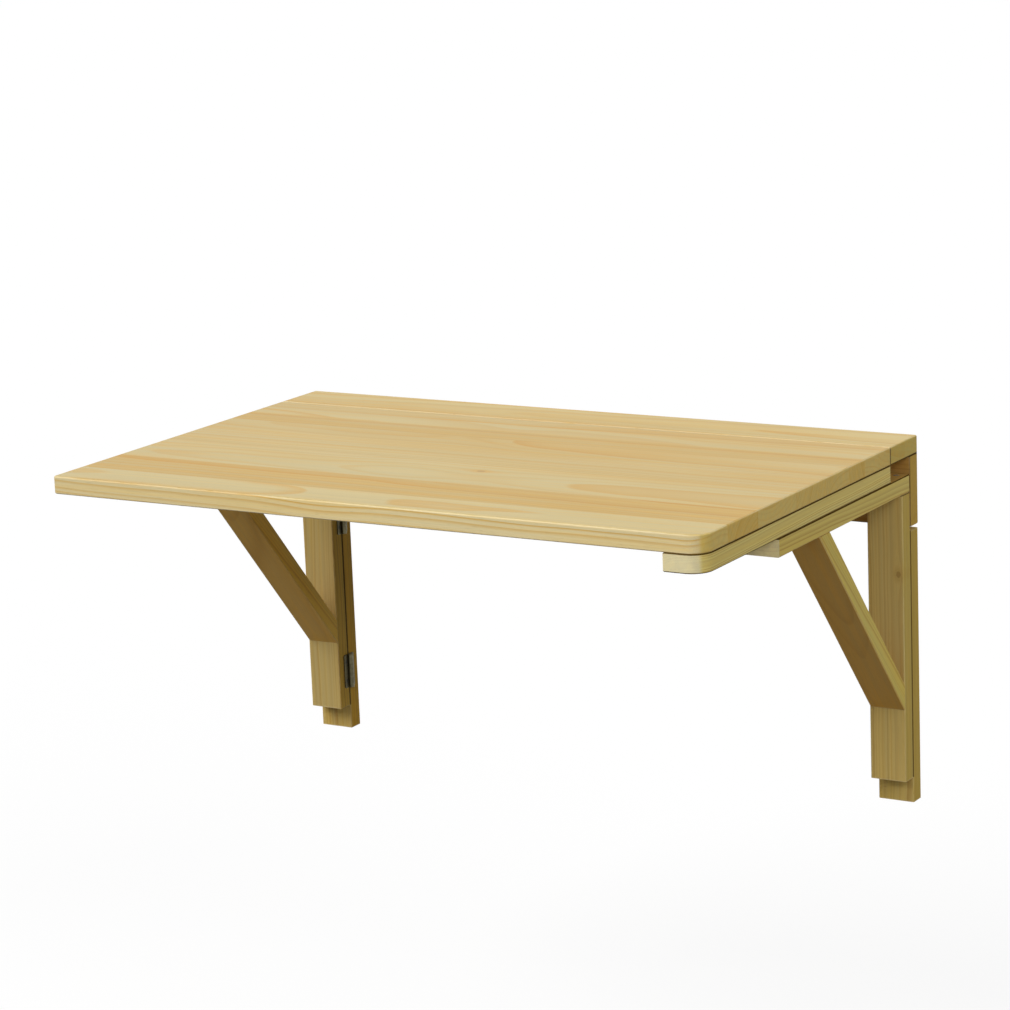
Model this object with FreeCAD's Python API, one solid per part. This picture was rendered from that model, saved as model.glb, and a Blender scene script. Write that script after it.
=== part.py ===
"""Wall mounted drop leaf table in planed pine, carried by two folding brackets.

Millimetres. X runs along the table's width and is zero at its middle, Y is zero
at the wall and negative into the room, and Z points up. The origin is the centre
of the wall rail's back face.

A fixed strip sits on the wall rail. The leaf hangs from the strip on butt hinges
under the seam and rests on the arms of two triangular brackets. Each bracket
swings on two butt hinges that join its post to an upright on the wall.
"""

import FreeCAD, Part
import math
import os

from FreeCAD import Vector

# ---- Table top ------------------------------------------------------------------
table_width = 800.0
table_depth = 520.0
top_thickness = 20.0
strip_depth = 71.0
seam_gap = 1.0
right_corner_radius = 22.0  # front corners of the leaf, each shared with the batten below it
left_corner_radius = 4.0
top_arris = 2.0  # rounding of the top edges that a hand or a plate meets
seam_arris = 0.6  # flat taken off both top edges at the seam

# ---- Battens under the ends of the leaf -------------------------------------------
batten_width = 45.0
batten_thickness = 20.0
left_batten_setback = 95.0  # front of the leaf to the front of the left batten

# ---- Parts fixed to the wall ------------------------------------------------------
wall_stock_thickness = 20.0  # rail and uprights, so that their fronts line up
rail_height = 80.0
upright_length = 315.0
upright_rail_gap = 5.0

# ---- Folding brackets -------------------------------------------------------------
bracket_width = 43.0  # arm, post, brace and upright, so that their sides line up
arm_length = 330.0
arm_thickness = 20.0
post_length = 330.0
post_thickness = 20.0
brace_thickness = 20.0
brace_reach = 213.0  # front of the post to the brace's far edge, along the arm
brace_drop = 246.0  # underside of the arm to the brace's low edge, down the post
arm_clearance = 0.3  # arm under batten, so that the bracket can swing
swing_gap = 1.0  # back of the post to the front of the upright

stock_arris = 1.0  # flat taken off the long edges of battens, rail, uprights and brackets

# ---- Butt hinges ------------------------------------------------------------------
pin_radius = 1.6
pin_clearance = 0.05
plate_thickness = 1.6
plate_corner = 1.5
barrel_clearance = 0.3  # barrel to the wood it stands on, and to the other plate
knuckle_count = 3
knuckle_gap = 0.3
bracket_hinge_height = 42.0
bracket_plate_reach = 10.5  # pin to the plate's outer edge
upper_hinge_drop = 24.5  # top of the upright to the top of the hinge
lower_hinge_rise = 53.5  # foot of the upright to the foot of the hinge
leaf_hinge_length = 60.0
leaf_plate_reach = 17.0
leaf_hinge_pitch = 480.0

# ---- Screws, dowels and wall fixings ----------------------------------------------
hinge_screw_radius = 1.4
hinge_screw_head = 2.8
hinge_screw_length = 15.0
hinge_screw_inset = 9.0  # end of the plate to the centre of the screw
frame_screw_radius = 2.0
frame_screw_head = 4.0
batten_screw_length = 34.0
batten_screw_inset = 45.0
batten_screw_count = 3
bracket_screw_length = 40.0
post_screw_spacing = 20.0
brace_screw_wall = 2.0  # wood left between a brace screw and the brace's inner edge
head_sink = 0.3  # frame screw heads below the wood
screw_fit = 0.05  # screw or dowel to its hole, all round
screw_point = 0.4  # share of the shank's radius that is left at the screw's end
fastener_sides = 6  # flat sides that stand for the round of screws and dowels
dowel_radius = 4.0
dowel_length = 30.0
dowel_inset = 60.0
dowel_count = 4
dowel_end_gap = 1.0
fixing_radius = 3.25
fixing_countersink = 6.5
rail_fixing_pitch = 500.0
upright_fixing_inset = 40.0

# ---- Levels and planes ------------------------------------------------------------
half_width = table_width / 2
strip_underside = rail_height / 2
top_level = strip_underside + top_thickness
strip_front = -strip_depth
leaf_back = strip_front - seam_gap
leaf_front = -table_depth
left_batten_front = leaf_front + left_batten_setback
batten_underside = strip_underside - batten_thickness
arm_top = batten_underside - arm_clearance
arm_underside = arm_top - arm_thickness
wall_stock_front = -wall_stock_thickness
bracket_back = wall_stock_front - swing_gap
post_front = bracket_back - post_thickness
bracket_inner = half_width - bracket_width
bracket_middle = half_width - bracket_width / 2
upright_top = -rail_height / 2 - upright_rail_gap
upright_foot = upright_top - upright_length
barrel_radius = pin_radius + pin_clearance + plate_thickness
pin_offset = barrel_radius + barrel_clearance
bracket_pin_x = bracket_inner - pin_offset
bracket_pin_y = wall_stock_front - swing_gap / 2
leaf_pin_y = strip_front - seam_gap / 2
leaf_pin_z = strip_underside - pin_offset
brace_slope = math.atan2(brace_reach, brace_drop)  # from the vertical
brace_foot_on_arm = brace_thickness / math.cos(brace_slope)
brace_foot_on_post = brace_thickness / math.sin(brace_slope)

ALONG_X = Vector(1, 0, 0)
ALONG_Y = Vector(0, 1, 0)
ALONG_Z = Vector(0, 0, 1)
ORIGIN = Vector(0, 0, 0)
same_place = 1e-3


# ---- Shared shapes ----------------------------------------------------------------
def block(x_range, y_range, z_range):
    """A plain box between two limits on each axis."""
    low = Vector(min(x_range), min(y_range), min(z_range))
    high = Vector(max(x_range), max(y_range), max(z_range))
    return Part.makeBox(high.x - low.x, high.y - low.y, high.z - low.z, low)


def edges_along(edges, direction):
    """Those of the edges that are straight and run along a direction."""
    found = []
    for edge in edges:
        if isinstance(edge.Curve, Part.Line):
            if edge.tangentAt(edge.FirstParameter).cross(direction).Length < same_place:
                found.append(edge)
    return found


def edges_at(edges, x=None, y=None, z=None):
    """Those of the edges that lie whole in each plane given."""
    found = edges
    for value, low, high in ((x, "XMin", "XMax"), (y, "YMin", "YMax"), (z, "ZMin", "ZMax")):
        if value is not None:
            found = [
                edge
                for edge in found
                if abs(getattr(edge.BoundBox, low) - value) < same_place
                and abs(getattr(edge.BoundBox, high) - value) < same_place
            ]
    return found


def planed_stick(x_range, y_range, z_range, direction):
    """A planed length of timber with its four long arrises taken off."""
    stick = block(x_range, y_range, z_range)
    return stick.makeChamfer(stock_arris, edges_along(stick.Edges, direction))


def mirrored(shape):
    """The same shape on the other side of the table's middle."""
    return shape.mirror(ORIGIN, ALONG_X)


def pointed(shape, place, direction):
    """A shape made along +Z, turned to a direction and set at a place."""
    placed = shape.copy()
    placed.Placement = FreeCAD.Placement(place, FreeCAD.Rotation(ALONG_Z, direction))
    return placed


def spread(count, half_span):
    """Evenly spaced places from one end of a span to the other."""
    return [-half_span + 2 * half_span * step / (count - 1) for step in range(count)]


# ---- Fasteners --------------------------------------------------------------------
def turned(outline):
    """A solid of revolution about Z from (radius, height) points."""
    points = [Vector(radius, 0, height) for radius, height in outline]
    face = Part.Face(Part.makePolygon(points + points[:1]))
    return face.revolve(ORIGIN, ALONG_Z, 360)


def many_sided(outline):
    """A slim solid about Z with flat sides, from (radius, height) points in order of height."""
    turns = [2 * math.pi * side / fastener_sides for side in range(fastener_sides)]
    rings = []
    for radius, height in outline:
        rings.append([Vector(radius * math.cos(turn), radius * math.sin(turn), height) for turn in turns])
    faces = [Part.Face(Part.makePolygon(ring + ring[:1])) for ring in (rings[0], rings[-1])]
    for low, high in zip(rings, rings[1:]):
        for side in range(fastener_sides):
            after = (side + 1) % fastener_sides
            corners = [low[side], low[after], high[after], high[side]]
            faces.append(Part.Face(Part.makePolygon(corners + corners[:1])))
    return Part.makeSolid(Part.makeShell(faces))


def countersunk_screw(shank, head, length):
    """A countersunk wood screw from its flat head at z = 0 along its tapering shank to z = length."""
    return many_sided([(head, 0), (shank, head - shank), (screw_point * shank, length)])


def screw_bore(shank, head, length, sink):
    """What a countersunk screw needs cut away: its sunk head and its shank."""
    wide = head + screw_fit
    narrow = shank + screw_fit
    mouth = -sink - screw_fit
    foot = length + screw_fit
    return many_sided([(wide, mouth), (wide, 0), (narrow, wide - narrow), (narrow, foot)])


def hinge_screw():
    """The screw of both sizes of hinge."""
    return countersunk_screw(hinge_screw_radius, hinge_screw_head, hinge_screw_length)


def hinge_screw_bore():
    """Its hole, through the plate and into the wood."""
    return screw_bore(hinge_screw_radius, hinge_screw_head, hinge_screw_length, 0)


def frame_screw(length):
    """A screw of the brackets or the battens."""
    return countersunk_screw(frame_screw_radius, frame_screw_head, length)


def frame_screw_bore(length):
    """Its hole, with the head sunk below the wood."""
    return screw_bore(frame_screw_radius, frame_screw_head, length, head_sink)


def wall_fixing_bore(x, z):
    """A countersunk hole for a wall screw, right through the rail or an upright."""
    seat = fixing_countersink - fixing_radius
    outline = [
        (0, 0),
        (fixing_countersink, 0),
        (fixing_radius, seat),
        (fixing_radius, wall_stock_thickness),
        (0, wall_stock_thickness),
    ]
    return pointed(turned(outline), Vector(x, wall_stock_front, z), ALONG_Y)


# ---- Butt hinge, made with its pin on Z and the wood on the -X side ----------------
def knuckle_spans(length, first):
    """The stretches of barrel that belong to the plate whose first knuckle is given."""
    pitch = length / knuckle_count
    spans = []
    for number in range(first, knuckle_count, 2):
        low = number * pitch + (knuckle_gap / 2 if number > 0 else 0)
        high = (number + 1) * pitch - (knuckle_gap / 2 if number < knuckle_count - 1 else 0)
        spans.append((low, high))
    return spans


def hinge_screw_places(length, reach):
    """Where the screws enter the outer face of the plate on the +Y side."""
    middle = (barrel_radius + barrel_clearance + reach) / 2
    face = plate_thickness - pin_offset
    return [Vector(face, middle, height) for height in (hinge_screw_inset, length - hinge_screw_inset)]


def hinge_plate(length, reach, first_knuckle):
    """The plate on the +Y side: a flat with two clipped corners, rolled into its knuckles."""
    back = -pin_offset
    face = back + plate_thickness
    near = barrel_radius + barrel_clearance
    flat = block((back, face), (near, reach), (0, length))
    plate = flat.makeChamfer(plate_corner, edges_along(edges_at(flat.Edges, y=reach), ALONG_X))
    for low, high in knuckle_spans(length, first_knuckle):
        roll = Part.makeCylinder(barrel_radius, high - low, Vector(0, 0, low))
        neck = block((back, face), (0, near), (low, high))
        plate = plate.fuse([roll, neck])
    plate = plate.removeSplitter()
    plate = plate.cut(Part.makeCylinder(pin_radius + pin_clearance, length))
    for place in hinge_screw_places(length, reach):
        plate = plate.cut(pointed(hinge_screw_bore(), place, Vector(-1, 0, 0)))
    return plate


def hinge_pin(length):
    """The pin, as long as the barrel."""
    return Part.makeCylinder(pin_radius, length)


def hinge_screws(length, reach, tool):
    """One screw, or one bore, at each hole of the plate on the +Y side."""
    return [pointed(tool, place, Vector(-1, 0, 0)) for place in hinge_screw_places(length, reach)]


def other_side(shape):
    """The same piece for the hinge's other plate."""
    return shape.mirror(ORIGIN, ALONG_Y)


def on_left_bracket(shape, foot):
    """Sets a hinge piece upright at the inner side of the left bracket."""
    placed = shape.copy()
    placed.translate(Vector(-bracket_pin_x, bracket_pin_y, foot))
    return placed


def under_seam(shape, middle):
    """Lays a hinge piece along the seam, with the wood above it."""
    placed = shape.copy()
    placed.translate(Vector(0, 0, -leaf_hinge_length / 2))
    placed.rotate(ORIGIN, ALONG_Y, 90)
    placed.translate(Vector(middle, leaf_pin_y, leaf_pin_z))
    return placed


bracket_hinges = {
    "upper": upright_top - upper_hinge_drop - bracket_hinge_height,
    "lower": upright_foot + lower_hinge_rise,
}
leaf_hinges = {"left": -leaf_hinge_pitch / 2, "right": leaf_hinge_pitch / 2}


def upright_hinge_tools(tool):
    """Screws or bores of both hinges in the left upright."""
    tools = hinge_screws(bracket_hinge_height, bracket_plate_reach, tool)
    return [on_left_bracket(shape, foot) for foot in bracket_hinges.values() for shape in tools]


def post_hinge_tools(tool):
    """Screws or bores of both hinges in the left post."""
    tools = [other_side(shape) for shape in hinge_screws(bracket_hinge_height, bracket_plate_reach, tool)]
    return [on_left_bracket(shape, foot) for foot in bracket_hinges.values() for shape in tools]


def strip_hinge_tools(tool):
    """Screws or bores of the seam's hinges in the fixed strip."""
    tools = hinge_screws(leaf_hinge_length, leaf_plate_reach, tool)
    return [under_seam(shape, middle) for middle in leaf_hinges.values() for shape in tools]


def leaf_hinge_tools(tool):
    """Screws or bores of the seam's hinges in the leaf."""
    tools = [other_side(shape) for shape in hinge_screws(leaf_hinge_length, leaf_plate_reach, tool)]
    return [under_seam(shape, middle) for middle in leaf_hinges.values() for shape in tools]


# ---- Places of the other fasteners ------------------------------------------------
def dowel_places():
    """The middles of the dowels, where the strip meets the rail."""
    row = spread(dowel_count, half_width - dowel_inset)
    return [Vector(x, wall_stock_front / 2, strip_underside) for x in row]


def batten_screw_tools(front, tool):
    """Screws or bores up into the leaf through a batten at the left with its front end given."""
    middle = (front + leaf_back) / 2
    reach = (leaf_back - front) / 2 - batten_screw_inset
    x = batten_width / 2 - half_width
    level = batten_underside + head_sink
    places = [Vector(x, middle + y, level) for y in spread(batten_screw_count, reach)]
    return [pointed(tool, place, ALONG_Z) for place in places]


def left_batten_screw_tools(tool):
    """Screws or bores of the left batten."""
    return batten_screw_tools(left_batten_front, tool)


def right_batten_screw_tools(tool):
    """Screws or bores of the right batten."""
    return [mirrored(shape) for shape in batten_screw_tools(leaf_front, tool)]


def left_bracket_screw_tools(tool):
    """Screws or bores of the left bracket: two into the post, one into each end of the brace."""
    down = Vector(0, 0, -1)
    out = Vector(0, -1, 0)
    top = arm_top - head_sink
    post_middle = (bracket_back + post_front) / 2
    inner_edge = brace_screw_wall + frame_screw_radius
    tools = []
    for x in (-post_screw_spacing / 2, post_screw_spacing / 2):
        tools.append(pointed(tool, Vector(x - bracket_middle, post_middle, top), down))
    arm_screw_y = post_front - brace_reach + brace_foot_on_arm - inner_edge
    tools.append(pointed(tool, Vector(-bracket_middle, arm_screw_y, top), down))
    post_screw_z = arm_underside - brace_drop + brace_foot_on_post - inner_edge
    tools.append(pointed(tool, Vector(-bracket_middle, bracket_back - head_sink, post_screw_z), out))
    return tools


# ---- Table top --------------------------------------------------------------------
def fixed_strip():
    """The narrow board at the wall, with sockets for the dowels and the hinge screws."""
    board = block((-half_width, half_width), (strip_front, 0), (strip_underside, top_level))
    board = board.makeFillet(top_arris, edges_along(edges_at(board.Edges, z=top_level), ALONG_Y))
    board = board.makeChamfer(seam_arris, edges_at(board.Edges, y=strip_front, z=top_level))
    sockets = [dowel_socket(place, ALONG_Z) for place in dowel_places()]
    return board.cut(sockets + strip_hinge_tools(hinge_screw_bore()))


def free_rim(board, level):
    """The leaf's edges at one height, all but the one at the seam."""
    return [edge for edge in edges_at(board.Edges, z=level) if not edges_at([edge], y=leaf_back)]


def leaf_board():
    """The hinged board, with two rounded front corners and bores for its screws."""
    board = block((-half_width, half_width), (leaf_front, leaf_back), (strip_underside, top_level))
    for x, radius in ((-half_width, left_corner_radius), (half_width, right_corner_radius)):
        board = board.makeFillet(radius, edges_at(board.Edges, x=x, y=leaf_front))
    board = board.makeFillet(top_arris, free_rim(board, top_level))
    board = board.makeChamfer(stock_arris, free_rim(board, strip_underside))
    board = board.makeChamfer(seam_arris, edges_at(board.Edges, y=leaf_back, z=top_level))
    batten_bore = frame_screw_bore(batten_screw_length)
    batten_bores = left_batten_screw_tools(batten_bore) + right_batten_screw_tools(batten_bore)
    return board.cut(batten_bores + leaf_hinge_tools(hinge_screw_bore()))


def batten(front, radius):
    """A batten at the left, from its front end to the seam, with its outer front corner rounded."""
    outer = -half_width
    inner = batten_width - half_width
    stick = block((outer, inner), (front, leaf_back), (batten_underside, strip_underside))
    stick = stick.makeFillet(radius, edges_at(stick.Edges, x=outer, y=front))
    for level in (batten_underside, strip_underside):
        stick = stick.makeChamfer(stock_arris, edges_at(stick.Edges, z=level))
    return stick.cut(batten_screw_tools(front, frame_screw_bore(batten_screw_length)))


# ---- Parts on the wall ------------------------------------------------------------
def dowel_socket(place, direction):
    """Half of a dowel's hole, with room for glue at its end."""
    depth = dowel_length / 2 + dowel_end_gap
    wide = dowel_radius + screw_fit
    return pointed(many_sided([(wide, 0), (wide, depth)]), place, direction)


def strip_dowels():
    """Fluted dowels that hold the strip on the rail."""
    dowel = many_sided([(dowel_radius, -dowel_length / 2), (dowel_radius, dowel_length / 2)])
    return Part.makeCompound([pointed(dowel, place, ALONG_Z) for place in dowel_places()])


def wall_rail():
    """The rail that carries the fixed strip, with two wall fixings."""
    rail = planed_stick(
        (-half_width, half_width),
        (wall_stock_front, 0),
        (-rail_height / 2, rail_height / 2),
        ALONG_X,
    )
    fixings = [wall_fixing_bore(x, 0) for x in (-rail_fixing_pitch / 2, rail_fixing_pitch / 2)]
    sockets = [dowel_socket(place, Vector(0, 0, -1)) for place in dowel_places()]
    return rail.cut(fixings + sockets)


def upright_left():
    """The upright that carries the left bracket, with two wall fixings."""
    upright = planed_stick(
        (-half_width, -bracket_inner),
        (wall_stock_front, 0),
        (upright_foot, upright_top),
        ALONG_Z,
    )
    fixing_levels = (upright_top - upright_fixing_inset, upright_foot + upright_fixing_inset)
    fixings = [wall_fixing_bore(-bracket_middle, z) for z in fixing_levels]
    return upright.cut(fixings + upright_hinge_tools(hinge_screw_bore()))


# ---- Folding bracket --------------------------------------------------------------
def arm_left():
    """The arm that the left batten rests on."""
    arm = planed_stick(
        (-half_width, -bracket_inner),
        (bracket_back - arm_length, bracket_back),
        (arm_underside, arm_top),
        ALONG_Y,
    )
    return arm.cut(left_bracket_screw_tools(frame_screw_bore(bracket_screw_length)))


def post_left():
    """The post under the arm, which carries the hinges."""
    post = planed_stick(
        (-half_width, -bracket_inner),
        (post_front, bracket_back),
        (arm_underside - post_length, arm_underside),
        ALONG_Z,
    )
    frame_bores = left_bracket_screw_tools(frame_screw_bore(bracket_screw_length))
    return post.cut(frame_bores + post_hinge_tools(hinge_screw_bore()))


def brace_left():
    """A diagonal cut to fit flat against the post and the underside of the arm."""
    far = post_front - brace_reach
    low = arm_underside - brace_drop
    corners = [
        Vector(-half_width, post_front, low),
        Vector(-half_width, far, arm_underside),
        Vector(-half_width, far + brace_foot_on_arm, arm_underside),
        Vector(-half_width, post_front, low + brace_foot_on_post),
    ]
    side = Part.Face(Part.makePolygon(corners + corners[:1]))
    brace = side.extrude(Vector(bracket_width, 0, 0))
    rise = (corners[1] - corners[0]).normalize()
    brace = brace.makeChamfer(stock_arris, edges_along(brace.Edges, rise))
    return brace.cut(left_bracket_screw_tools(frame_screw_bore(bracket_screw_length)))


# ---- Assembly ---------------------------------------------------------------------
def wooden_parts():
    """Every board, batten and stick, by name."""
    parts = {
        "fixed_strip": fixed_strip(),
        "leaf_board": leaf_board(),
        "batten_left": batten(left_batten_front, left_corner_radius),
        "batten_right": mirrored(batten(leaf_front, right_corner_radius)),
        "wall_rail": wall_rail(),
    }
    for name, shape in (
        ("upright", upright_left()),
        ("arm", arm_left()),
        ("post", post_left()),
        ("brace", brace_left()),
    ):
        parts[name + "_left"] = shape
        parts[name + "_right"] = mirrored(shape)
    return parts


def bracket_hinge_parts():
    """Plates and pins of the four hinges between uprights and posts, by name."""
    wall_plate = hinge_plate(bracket_hinge_height, bracket_plate_reach, 0)
    post_plate = other_side(hinge_plate(bracket_hinge_height, bracket_plate_reach, 1))
    pieces = {"wall_plate": wall_plate, "post_plate": post_plate, "pin": hinge_pin(bracket_hinge_height)}
    parts = {}
    for level, foot in bracket_hinges.items():
        for piece, shape in pieces.items():
            placed = on_left_bracket(shape, foot)
            parts[f"{level}_hinge_left_{piece}"] = placed
            parts[f"{level}_hinge_right_{piece}"] = mirrored(placed)
    return parts


def leaf_hinge_parts():
    """Plates and pins of the hinges under the seam, by name."""
    strip_plate = hinge_plate(leaf_hinge_length, leaf_plate_reach, 0)
    leaf_plate = other_side(hinge_plate(leaf_hinge_length, leaf_plate_reach, 1))
    pieces = {"strip_plate": strip_plate, "leaf_plate": leaf_plate, "pin": hinge_pin(leaf_hinge_length)}
    parts = {}
    for name, middle in leaf_hinges.items():
        for piece, shape in pieces.items():
            parts[f"leaf_hinge_{name}_{piece}"] = under_seam(shape, middle)
    return parts


def fastener_parts():
    """Dowels and screws, each like set as one group, by name."""
    batten_screw = frame_screw(batten_screw_length)
    parts = {
        "strip_dowels": strip_dowels(),
        "strip_hinge_screws": Part.makeCompound(strip_hinge_tools(hinge_screw())),
        "leaf_hinge_screws": Part.makeCompound(leaf_hinge_tools(hinge_screw())),
        "batten_screws_left": Part.makeCompound(left_batten_screw_tools(batten_screw)),
        "batten_screws_right": Part.makeCompound(right_batten_screw_tools(batten_screw)),
    }
    for name, screws in (
        ("upright_hinge_screws", upright_hinge_tools(hinge_screw())),
        ("post_hinge_screws", post_hinge_tools(hinge_screw())),
        ("bracket_screws", left_bracket_screw_tools(frame_screw(bracket_screw_length))),
    ):
        parts[name + "_left"] = Part.makeCompound(screws)
        parts[name + "_right"] = mirrored(Part.makeCompound(screws))
    return parts


os.makedirs("parts", exist_ok=True)
for part_name, part_shape in {
    **wooden_parts(),
    **bracket_hinge_parts(),
    **leaf_hinge_parts(),
    **fastener_parts(),
}.items():
    part_shape.exportStep(f"parts/{part_name}.step")
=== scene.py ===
"""Looks of a wall mounted drop leaf table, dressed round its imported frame.

The frame holds every board, hinge, screw and dowel as a solid. This file gives
each of them its finish, makes the screws with their heads, recesses and threads,
and sets the camera, the lamps and the floor. Lengths are in metres.
"""

import logging
import math
from dataclasses import dataclass, field, fields, replace
from enum import Enum
from typing import Any, ClassVar, Dict, List, Mapping, Optional, Sequence, Tuple, Union

import bpy
from mathutils import Matrix, Vector


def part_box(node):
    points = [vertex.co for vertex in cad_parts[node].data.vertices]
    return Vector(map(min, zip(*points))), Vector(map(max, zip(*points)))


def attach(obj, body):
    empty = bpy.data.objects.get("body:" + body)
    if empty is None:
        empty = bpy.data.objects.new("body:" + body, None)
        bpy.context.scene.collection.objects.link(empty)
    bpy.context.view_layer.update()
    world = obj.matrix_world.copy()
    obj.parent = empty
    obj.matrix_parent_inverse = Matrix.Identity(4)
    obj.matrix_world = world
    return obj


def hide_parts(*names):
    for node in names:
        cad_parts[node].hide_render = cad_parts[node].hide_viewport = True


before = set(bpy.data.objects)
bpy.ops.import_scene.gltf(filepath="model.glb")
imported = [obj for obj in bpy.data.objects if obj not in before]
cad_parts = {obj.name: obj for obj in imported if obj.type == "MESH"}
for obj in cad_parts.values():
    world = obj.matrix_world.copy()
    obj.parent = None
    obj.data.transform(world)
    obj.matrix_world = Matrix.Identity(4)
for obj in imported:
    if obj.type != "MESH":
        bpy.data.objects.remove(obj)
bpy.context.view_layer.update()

Triple = Tuple[float, float, float]
Colour = Triple
Range = Tuple[float, float]
Corners = Tuple[Vector, Vector]  # lowest and highest
Place = Tuple[Vector, Vector]  # a point and a way
Value = Union[float, Sequence[float], "Signal"]
Inputs = Mapping[Any, Any]

log = logging.getLogger("table")
HEAD_RISE = 0.00005  # how far screw heads stand out of the wood
ABOVE = (0.0, 0.0, 1.0)
BELOW = (0.0, 0.0, -1.0)
FRONT = (0.0, -1.0, 0.0)
BACK = (0.0, 1.0, 0.0)
WHITE = (1.0, 1.0, 1.0)
HALF = (0.5, 0.5, 0.5)
NOISE_MIDDLE = (0.25, 0.75)  # where most of a noise's values lie
NOISE_SPREAD = (0.2, 0.8)  # where nearly all of them lie


def spelt(name: str) -> str:
    """A field's name as a node's socket spells it."""
    return name.replace("_", " ").title()


# ---- Node wiring ------------------------------------------------------------------
@dataclass(frozen=True)
class Signal:
    """What one socket gives out, for use in sums as its number, vector or colour would be."""

    net: "Wiring"
    socket: bpy.types.NodeSocket

    @property
    def is_vector(self) -> bool:
        """Whether it is a vector or a colour."""
        return self.socket.type in ("VECTOR", "RGBA")

    def sum(self, operation: str, *terms: Value) -> "Signal":
        """A sum on this and other terms, of vectors where this is one."""
        return (self.net.vector if self.is_vector else self.net.math)(operation, self, *terms)

    def __add__(self, other: Value) -> "Signal":
        """Adds a term."""
        return self.sum("ADD", other)

    def __sub__(self, other: Value) -> "Signal":
        """Takes a term away."""
        return self.sum("SUBTRACT", other)

    def __mul__(self, other: Value) -> "Signal":
        """Multiplies, where a vector times a number is the longer vector."""
        number = not other.is_vector if isinstance(other, Signal) else isinstance(other, (int, float))
        return self.sum("SCALE" if self.is_vector and number else "MULTIPLY", other)

    def __truediv__(self, other: Value) -> "Signal":
        """Divides by a number."""
        return self.sum("DIVIDE", other)

    def __abs__(self) -> "Signal":
        """Drops the signs."""
        return self.sum("ABSOLUTE")

    def maximum(self, other: Value) -> "Signal":
        """The larger of two numbers."""
        return self.sum("MAXIMUM", other)

    def minimum(self, other: Value) -> "Signal":
        """The smaller of two numbers."""
        return self.sum("MINIMUM", other)

    def rest(self) -> "Signal":
        """What is left of 1, from 0 to 1."""
        return self.net.math("SUBTRACT", 1.0, self, clamp=True)

    def hump(self) -> "Signal":
        """A soft hump that is 1 at 0 and falls off on both sides."""
        return self.net.math("EXPONENT", self * self * -1.0)

    def along(self, way: Triple) -> "Signal":
        """A way, multiplied by this number."""
        return self.net.vector("SCALE", way, self)

    def length(self) -> "Signal":
        """The length of a vector."""
        return self.net.vector("LENGTH", self)

    def apart(self) -> Tuple["Signal", "Signal", "Signal"]:
        """The three numbers of a vector."""
        x, y, z = self.net.signals(self.net.node("ShaderNodeSeparateXYZ", {0: self})).values()
        return x, y, z

    def remap(self, low: float = 0.0, high: float = 1.0, bottom: float = 0.0, top: float = 1.0) -> "Signal":
        """Takes a range of numbers to another one, with soft ends.

        Args:
            low: Where the range starts.
            high: Where it ends.
            bottom: Result at low and before it.
            top: Result at high and past it.

        Returns:
            The new number.
        """
        inputs = {"Value": self, "From Min": low, "From Max": high, "To Min": bottom, "To Max": top}
        return self.net.signal("ShaderNodeMapRange", inputs, interpolation_type="SMOOTHSTEP")

    def noise(
        self, scale: float = 1.0, detail: float = 2.0, roughness: float = 0.5, output: int = 0
    ) -> "Signal":
        """A cloud of smooth noise, read at this vector.

        Args:
            scale: Size of its pattern, in waves for each unit.
            detail: How many finer layers it has.
            roughness: How strong those layers are.
            output: 0 for a number and 1 for a colour.

        Returns:
            The noise.
        """
        inputs = {"Vector": self, "Scale": scale, "Detail": detail, "Roughness": roughness}
        return self.net.signal("ShaderNodeTexNoise", inputs, output)


Signals = Mapping[str, Signal]


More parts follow.
